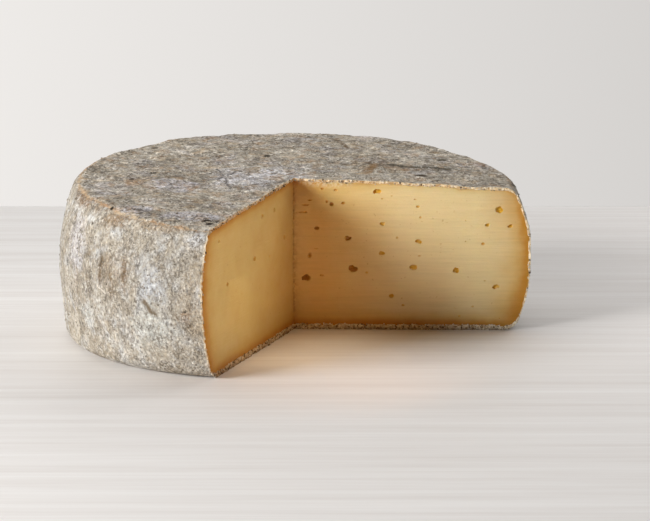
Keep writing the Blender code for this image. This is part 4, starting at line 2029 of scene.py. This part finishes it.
    def wave_faces(self, mesh: Mesh) -> None:
        """Give the cut faces slight waves and tear the paste a little along their meeting line.

        Args:
            mesh: The paste's mesh.
        """
        places = vertex_places(mesh)
        shift = np.zeros_like(places)
        for cut in Cut:
            near, _, plan = self.near_face(cut, places, 0.0)
            fade = np.clip(plan[:, 0] / self.wave_fade, 0.0, 1.0)
            waves = noises(places[near] / self.wave_length) * fade * self.wave_height
            shift[near] += waves[:, None] * self.form.outward(cut)
        gap = np.linalg.norm((places - self.form.corner_place())[:, :2], axis=1)
        inward = -(self.form.outward(Cut.RIGHT) + self.form.outward(Cut.LEFT))
        inward /= np.linalg.norm(inward)
        shift[gap < self.line_slack] += inward * self.groove_depth
        torn = np.exp(-gap / self.tear_reach)
        close = torn > self.least_tear
        rough = noises(places[close] / self.tear_length) * torn[close] * self.tear_height
        shift[close] -= rough[:, None] * inward
        mesh.vertices.foreach_set("co", (places + shift).astype(np.float32).ravel())
        store_mark(mesh, Mark.TONE, torn)
        mesh.update()


@dataclass
class CrumbLayer:
    """Loose crumbs or grains on the crust: how many lie on a square metre, and their sizes."""

    name: str
    finish: CrumbFinish
    density: float
    smallest: float
    largest: float
    flatness: float
    seed: int

    def share(self, mesh: Mesh) -> Array:
        """Return the share of the full density at each of the crust's vertices."""
        return np.ones(len(mesh.vertices))

    def build(self, ground: Piece) -> Piece:
        """Scatter the crumbs over a finished piece.

        Args:
            ground: The piece that they lie on.

        Returns:
            The finished piece.
        """
        mesh = ground.data.copy()
        store_mark(mesh, Mark.SIZE, self.share(ground.data))
        piece = link_object(self.name, mesh)
        recipe = Recipe(self.name + "_scatter", {
            "Density": self.density, "Smallest": self.smallest, "Largest": self.largest,
            "Flatness": self.flatness, "Seed": self.seed,
        })
        given = recipe.given
        spread = recipe.call("GeometryNodeDistributePointsOnFaces", {
            "Mesh": given["Geometry"], "Seed": given["Seed"],
            "Density": recipe.attribute(Mark.SIZE) * given["Density"],
        }, distribute_method='RANDOM')
        size = recipe.random(given["Smallest"], given["Largest"], 1)
        shape = recipe.random((0.6, 0.6, 0.6), (1.0, 1.0, 1.0), 2) * (size * 0.5)
        flat = recipe.call("ShaderNodeCombineXYZ", {"X": 1.0, "Y": 1.0, "Z": given["Flatness"]})
        placed = recipe.call("GeometryNodeInstanceOnPoints", {
            "Points": spread, "Instance": recipe.ball(1), "Rotation": spread.beside("Rotation"),
            "Scale": shape * flat,
        })
        turn = recipe.random((-0.5, -0.5, 0.0), (0.5, 0.5, 6.28), 3)
        turned = recipe.call("GeometryNodeRotateInstances", {"Instances": placed, "Rotation": turn})
        real = recipe.toned(turned, recipe.random(0.0, 1.0, 4))
        place = recipe.position()
        lump = (recipe.noise(place, 0.7, 1.0) - 0.5) * given["Largest"]
        shaped = recipe.moved(real, Position=place + recipe.normal() * lump)
        recipe.run(shaped, piece, self.finish.material())
        return piece


@dataclass
class EdgeCrumbs(CrumbLayer):
    """The crumbs of the torn edge, thick at the foot and where the rind has flaked."""

    name: str = "edge_crumbs"
    finish: CrumbFinish = CrumbFinish("edge_crumb", (
        (0.0, (84, 70, 56)), (0.3, (150, 132, 106)), (0.6, (206, 193, 168)), (1.0, (232, 224, 208)),
    ))
    density: float = 1.1e6
    smallest: float = 0.0004
    largest: float = 0.0014
    flatness: float = 0.75
    seed: int = 11
    foot_height: float = 0.006
    foot_fade: float = 0.003
    plain_share: float = 0.35
    flaked_share: float = 0.60
    flaked_height: float = 0.060
    flaked_reach: float = 0.024

    def share(self, mesh: Mesh) -> Array:
        """Crowd the crumbs along the torn edge.

        Args:
            mesh: The crust's mesh.

        Returns:
            The share of the full density at each vertex.
        """
        x, _, z = vertex_places(mesh).T
        low = np.clip((self.foot_height - z) / self.foot_fade, 0.0, 1.0)
        flaked = np.where((z > self.flaked_height) & (x < self.flaked_reach), self.flaked_share, 0.0)
        crowd = np.clip(self.plain_share + (1.0 - self.plain_share) * low + flaked, 0.0, 1.0)
        return np.clip(read_mark(mesh, Mark.BAND), 0.0, 1.0) * crowd


@dataclass
class RindGrains(CrumbLayer):
    """The small loose-looking grains of the whole outer skin."""

    name: str = "rind_grains"
    finish: CrumbFinish = CrumbFinish("rind_grain", (
        (0.0, (90, 80, 66)), (0.4, (136, 127, 112)), (0.8, (168, 160, 146)), (1.0, (190, 186, 177)),
    ))
    density: float = 5.0e4
    smallest: float = 0.0005
    largest: float = 0.0012
    flatness: float = 0.45
    seed: int = 12
    most_band: float = 0.05
    least_height: float = 0.003
    least_push: float = 0.3

    def share(self, mesh: Mesh) -> Array:
        """Keep the grains off the cut edges and the base.

        Args:
            mesh: The crust's mesh.

        Returns:
            The share of the full density at each vertex, all or nothing.
        """
        outside = np.abs(read_mark(mesh, Mark.BAND)) < self.most_band
        raised = vertex_places(mesh)[:, 2] > self.least_height
        push = np.linalg.norm(read_mark(mesh, Mark.PUSH), axis=1)
        return np.where(outside & raised & (push > self.least_push), 1.0, 0.0)


@dataclass(frozen=True)
class Lamp:
    """A soft box: where it hangs, where it looks, its size, power and linear colour."""

    name: str
    place: Triple
    aim: Triple
    width: float
    height: float
    power: float
    tint: Triple = (1.0, 1.0, 1.0)
    spread: float = math.pi


MIDDLE = (0.0, 0.0, 0.035)


@dataclass
class Studio:
    """The pale floor, the soft light and the camera."""

    form: WheelForm
    lamps: tuple[Lamp, ...] = (
        Lamp("key", (-1.0, -0.62, 0.44), MIDDLE, 0.55, 0.45, 17.8),
        Lamp("top", (-0.35, 0.50, 1.25), MIDDLE, 1.1, 1.1, 3.2),
        Lamp("back", (0.9, 0.7, 0.9), MIDDLE, 0.9, 0.9, 5.2),
        Lamp("bounce", (0.075, -0.150, 0.056), (-0.020, -0.040, 0.040), 0.06, 0.05, 0.0125,
             (1.0, 0.385, 0.02), math.radians(100.0)),
        Lamp("hollow", (0.012, -0.042, 0.060), (0.012, -0.042, 0.0), 0.04, 0.04, 0.0028,
             (1.0, 0.80, 0.55), math.radians(80.0)),
        Lamp("seam", (-0.006, -0.062, 0.032), (-0.016, -0.062, 0.0), 0.02, 0.05, 0.0008,
             (1.0, 0.78, 0.50), math.radians(80.0)),
        Lamp("fill", (0.30, 0.08, 0.45), (0.30, 0.08, 0.0), 0.1, 0.3, 0.07,
             (1.0, 0.97, 0.97), math.radians(48.0)),
    )
    wall_tint: Tint = (228, 225, 222)
    glow_tint: tuple[float, float, float, float] = (1.0, 0.99, 0.98, 1.0)
    glow_behind: float = 1.53
    glow_around: float = 0.01
    floor_back: float = 0.282
    floor_front: float = -1.2
    floor_half_width: float = 1.6
    camera_elevation: float = math.radians(12.47)
    camera_distance: float = 1.1237
    aim_x: float = 0.01247
    aim_z: float = 0.0318
    focal_pixels: float = 2500.0
    picture_width: float = 650.0
    sensor_width: float = 36.0

    def build(self) -> None:
        """Set up everything that isn't part of the cheese."""
        self.add_floor()
        self.add_sky()
        for lamp in self.lamps:
            self.add_light(lamp)
        self.add_camera()
        bpy.context.scene.view_settings.view_transform = 'Standard'

    def add_floor(self) -> None:
        """Lay the pale floor with its faint grain."""
        wide, near, far = self.floor_half_width, self.floor_front, self.floor_back
        corners = [(-wide, near, 0.0), (wide, near, 0.0), (wide, far, 0.0), (-wide, far, 0.0)]
        mesh = bpy.data.meshes.new("floor")
        mesh.from_pydata(corners, [], [(0, 1, 2, 3)])
        mesh.materials.append(FloorFinish().material())
        link_object("floor", mesh)

    def add_sky(self) -> None:
        """Give the camera a pale wall, painted lighter to the left and darker to the right, and
        everything else a soft even light.
        """
        world = bpy.data.worlds.new("studio")
        bpy.context.scene.world = world
        world.use_nodes = True
        sketch = NodeSketch(world.node_tree)
        sketch.tree.nodes.clear()
        heading = sketch.out(sketch.node("ShaderNodeTexCoord"), "Generated")
        # Painted light on the wall: brighter to the left, darker to the right.
        wall = sketch.call("ShaderNodeBackground", {
            "Color": linear(self.wall_tint),
            "Strength": sketch.span(sketch.split(heading, ACROSS), -0.13, 0.13, 1.10, 0.86),
        })
        behind = sketch.sum('MAXIMUM', sketch.sum('DOT_PRODUCT', heading, (0.0, 1.0, 0.0)), 0.0)
        glow = sketch.call("ShaderNodeBackground", {
            "Color": self.glow_tint,
            "Strength": behind * behind * self.glow_behind + self.glow_around,
        })
        seen = sketch.out(sketch.node("ShaderNodeLightPath"), "Is Camera Ray")
        both = sketch.node("ShaderNodeMixShader")
        for target, value in zip(both.inputs, (seen, glow, wall)):
            sketch.feed(target, value)
        end = sketch.node("ShaderNodeOutputWorld")
        sketch.feed(end.inputs["Surface"], sketch.out(both))

    def add_light(self, lamp: Lamp) -> None:
        """Hang a soft box that looks at its aim.

        Args:
            lamp: The soft box's place, size and power.
        """
        data = bpy.data.lights.new(lamp.name, 'AREA')
        data.shape = 'RECTANGLE'
        data.size = lamp.width
        data.size_y = lamp.height
        data.energy = lamp.power
        data.color = lamp.tint
        data.spread = lamp.spread
        hung = link_object(lamp.name, data)
        hung.visible_camera = False
        hung.location = lamp.place
        hung.rotation_mode = 'QUATERNION'
        hung.rotation_quaternion = (Vector(lamp.aim) - Vector(lamp.place)).to_track_quat('-Z', 'Y')

    def add_camera(self) -> None:
        """Stand the camera where the photograph was taken from."""
        data = bpy.data.cameras.new("camera")
        data.sensor_width = self.sensor_width
        data.lens = self.focal_pixels / self.picture_width * self.sensor_width
        camera = link_object("camera", data)
        rise, run = math.sin(self.camera_elevation), math.cos(self.camera_elevation)
        aim = Vector((self.form.axis_x + self.aim_x, self.form.axis_y, self.aim_z))
        back = Vector((0.0, -run, rise))
        camera.location = aim + back * self.camera_distance
        camera.rotation_mode = 'QUATERNION'
        camera.rotation_quaternion = (-back).to_track_quat('-Z', 'Y')
        bpy.context.scene.camera = camera


def report_piece(piece: Piece) -> None:
    """Hold a finished piece inside the solid's box, tie it to the wheel and log its size.

    Args:
        piece: The piece.
    """
    inside = np.clip(vertex_places(piece.data), *np.array(solid_box))
    piece.data.vertices.foreach_set("co", inside.astype(np.float32).ravel())
    piece.data.update()
    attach(piece, BODY_NAME)
    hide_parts(NODE_NAME)
    triangles = sum(len(face.vertices) - 2 for face in piece.data.polygons)
    LOG.info("%s: %d vertices, %d triangles", piece.name, len(piece.data.vertices), triangles)


def main() -> None:
    """Build the cheese piece by piece, then the studio."""
    logging.basicConfig(level=logging.INFO, format="%(message)s")
    form = WheelForm()
    crust = RindCrust(form, RindFinish()).build()
    report_piece(crust)
    report_piece(PasteBody(form, PasteFinish()).build())
    for layer in (EdgeCrumbs(), RindGrains()):
        report_piece(layer.build(crust))
    Studio(form).build()


if __name__ == "__main__":
    main()
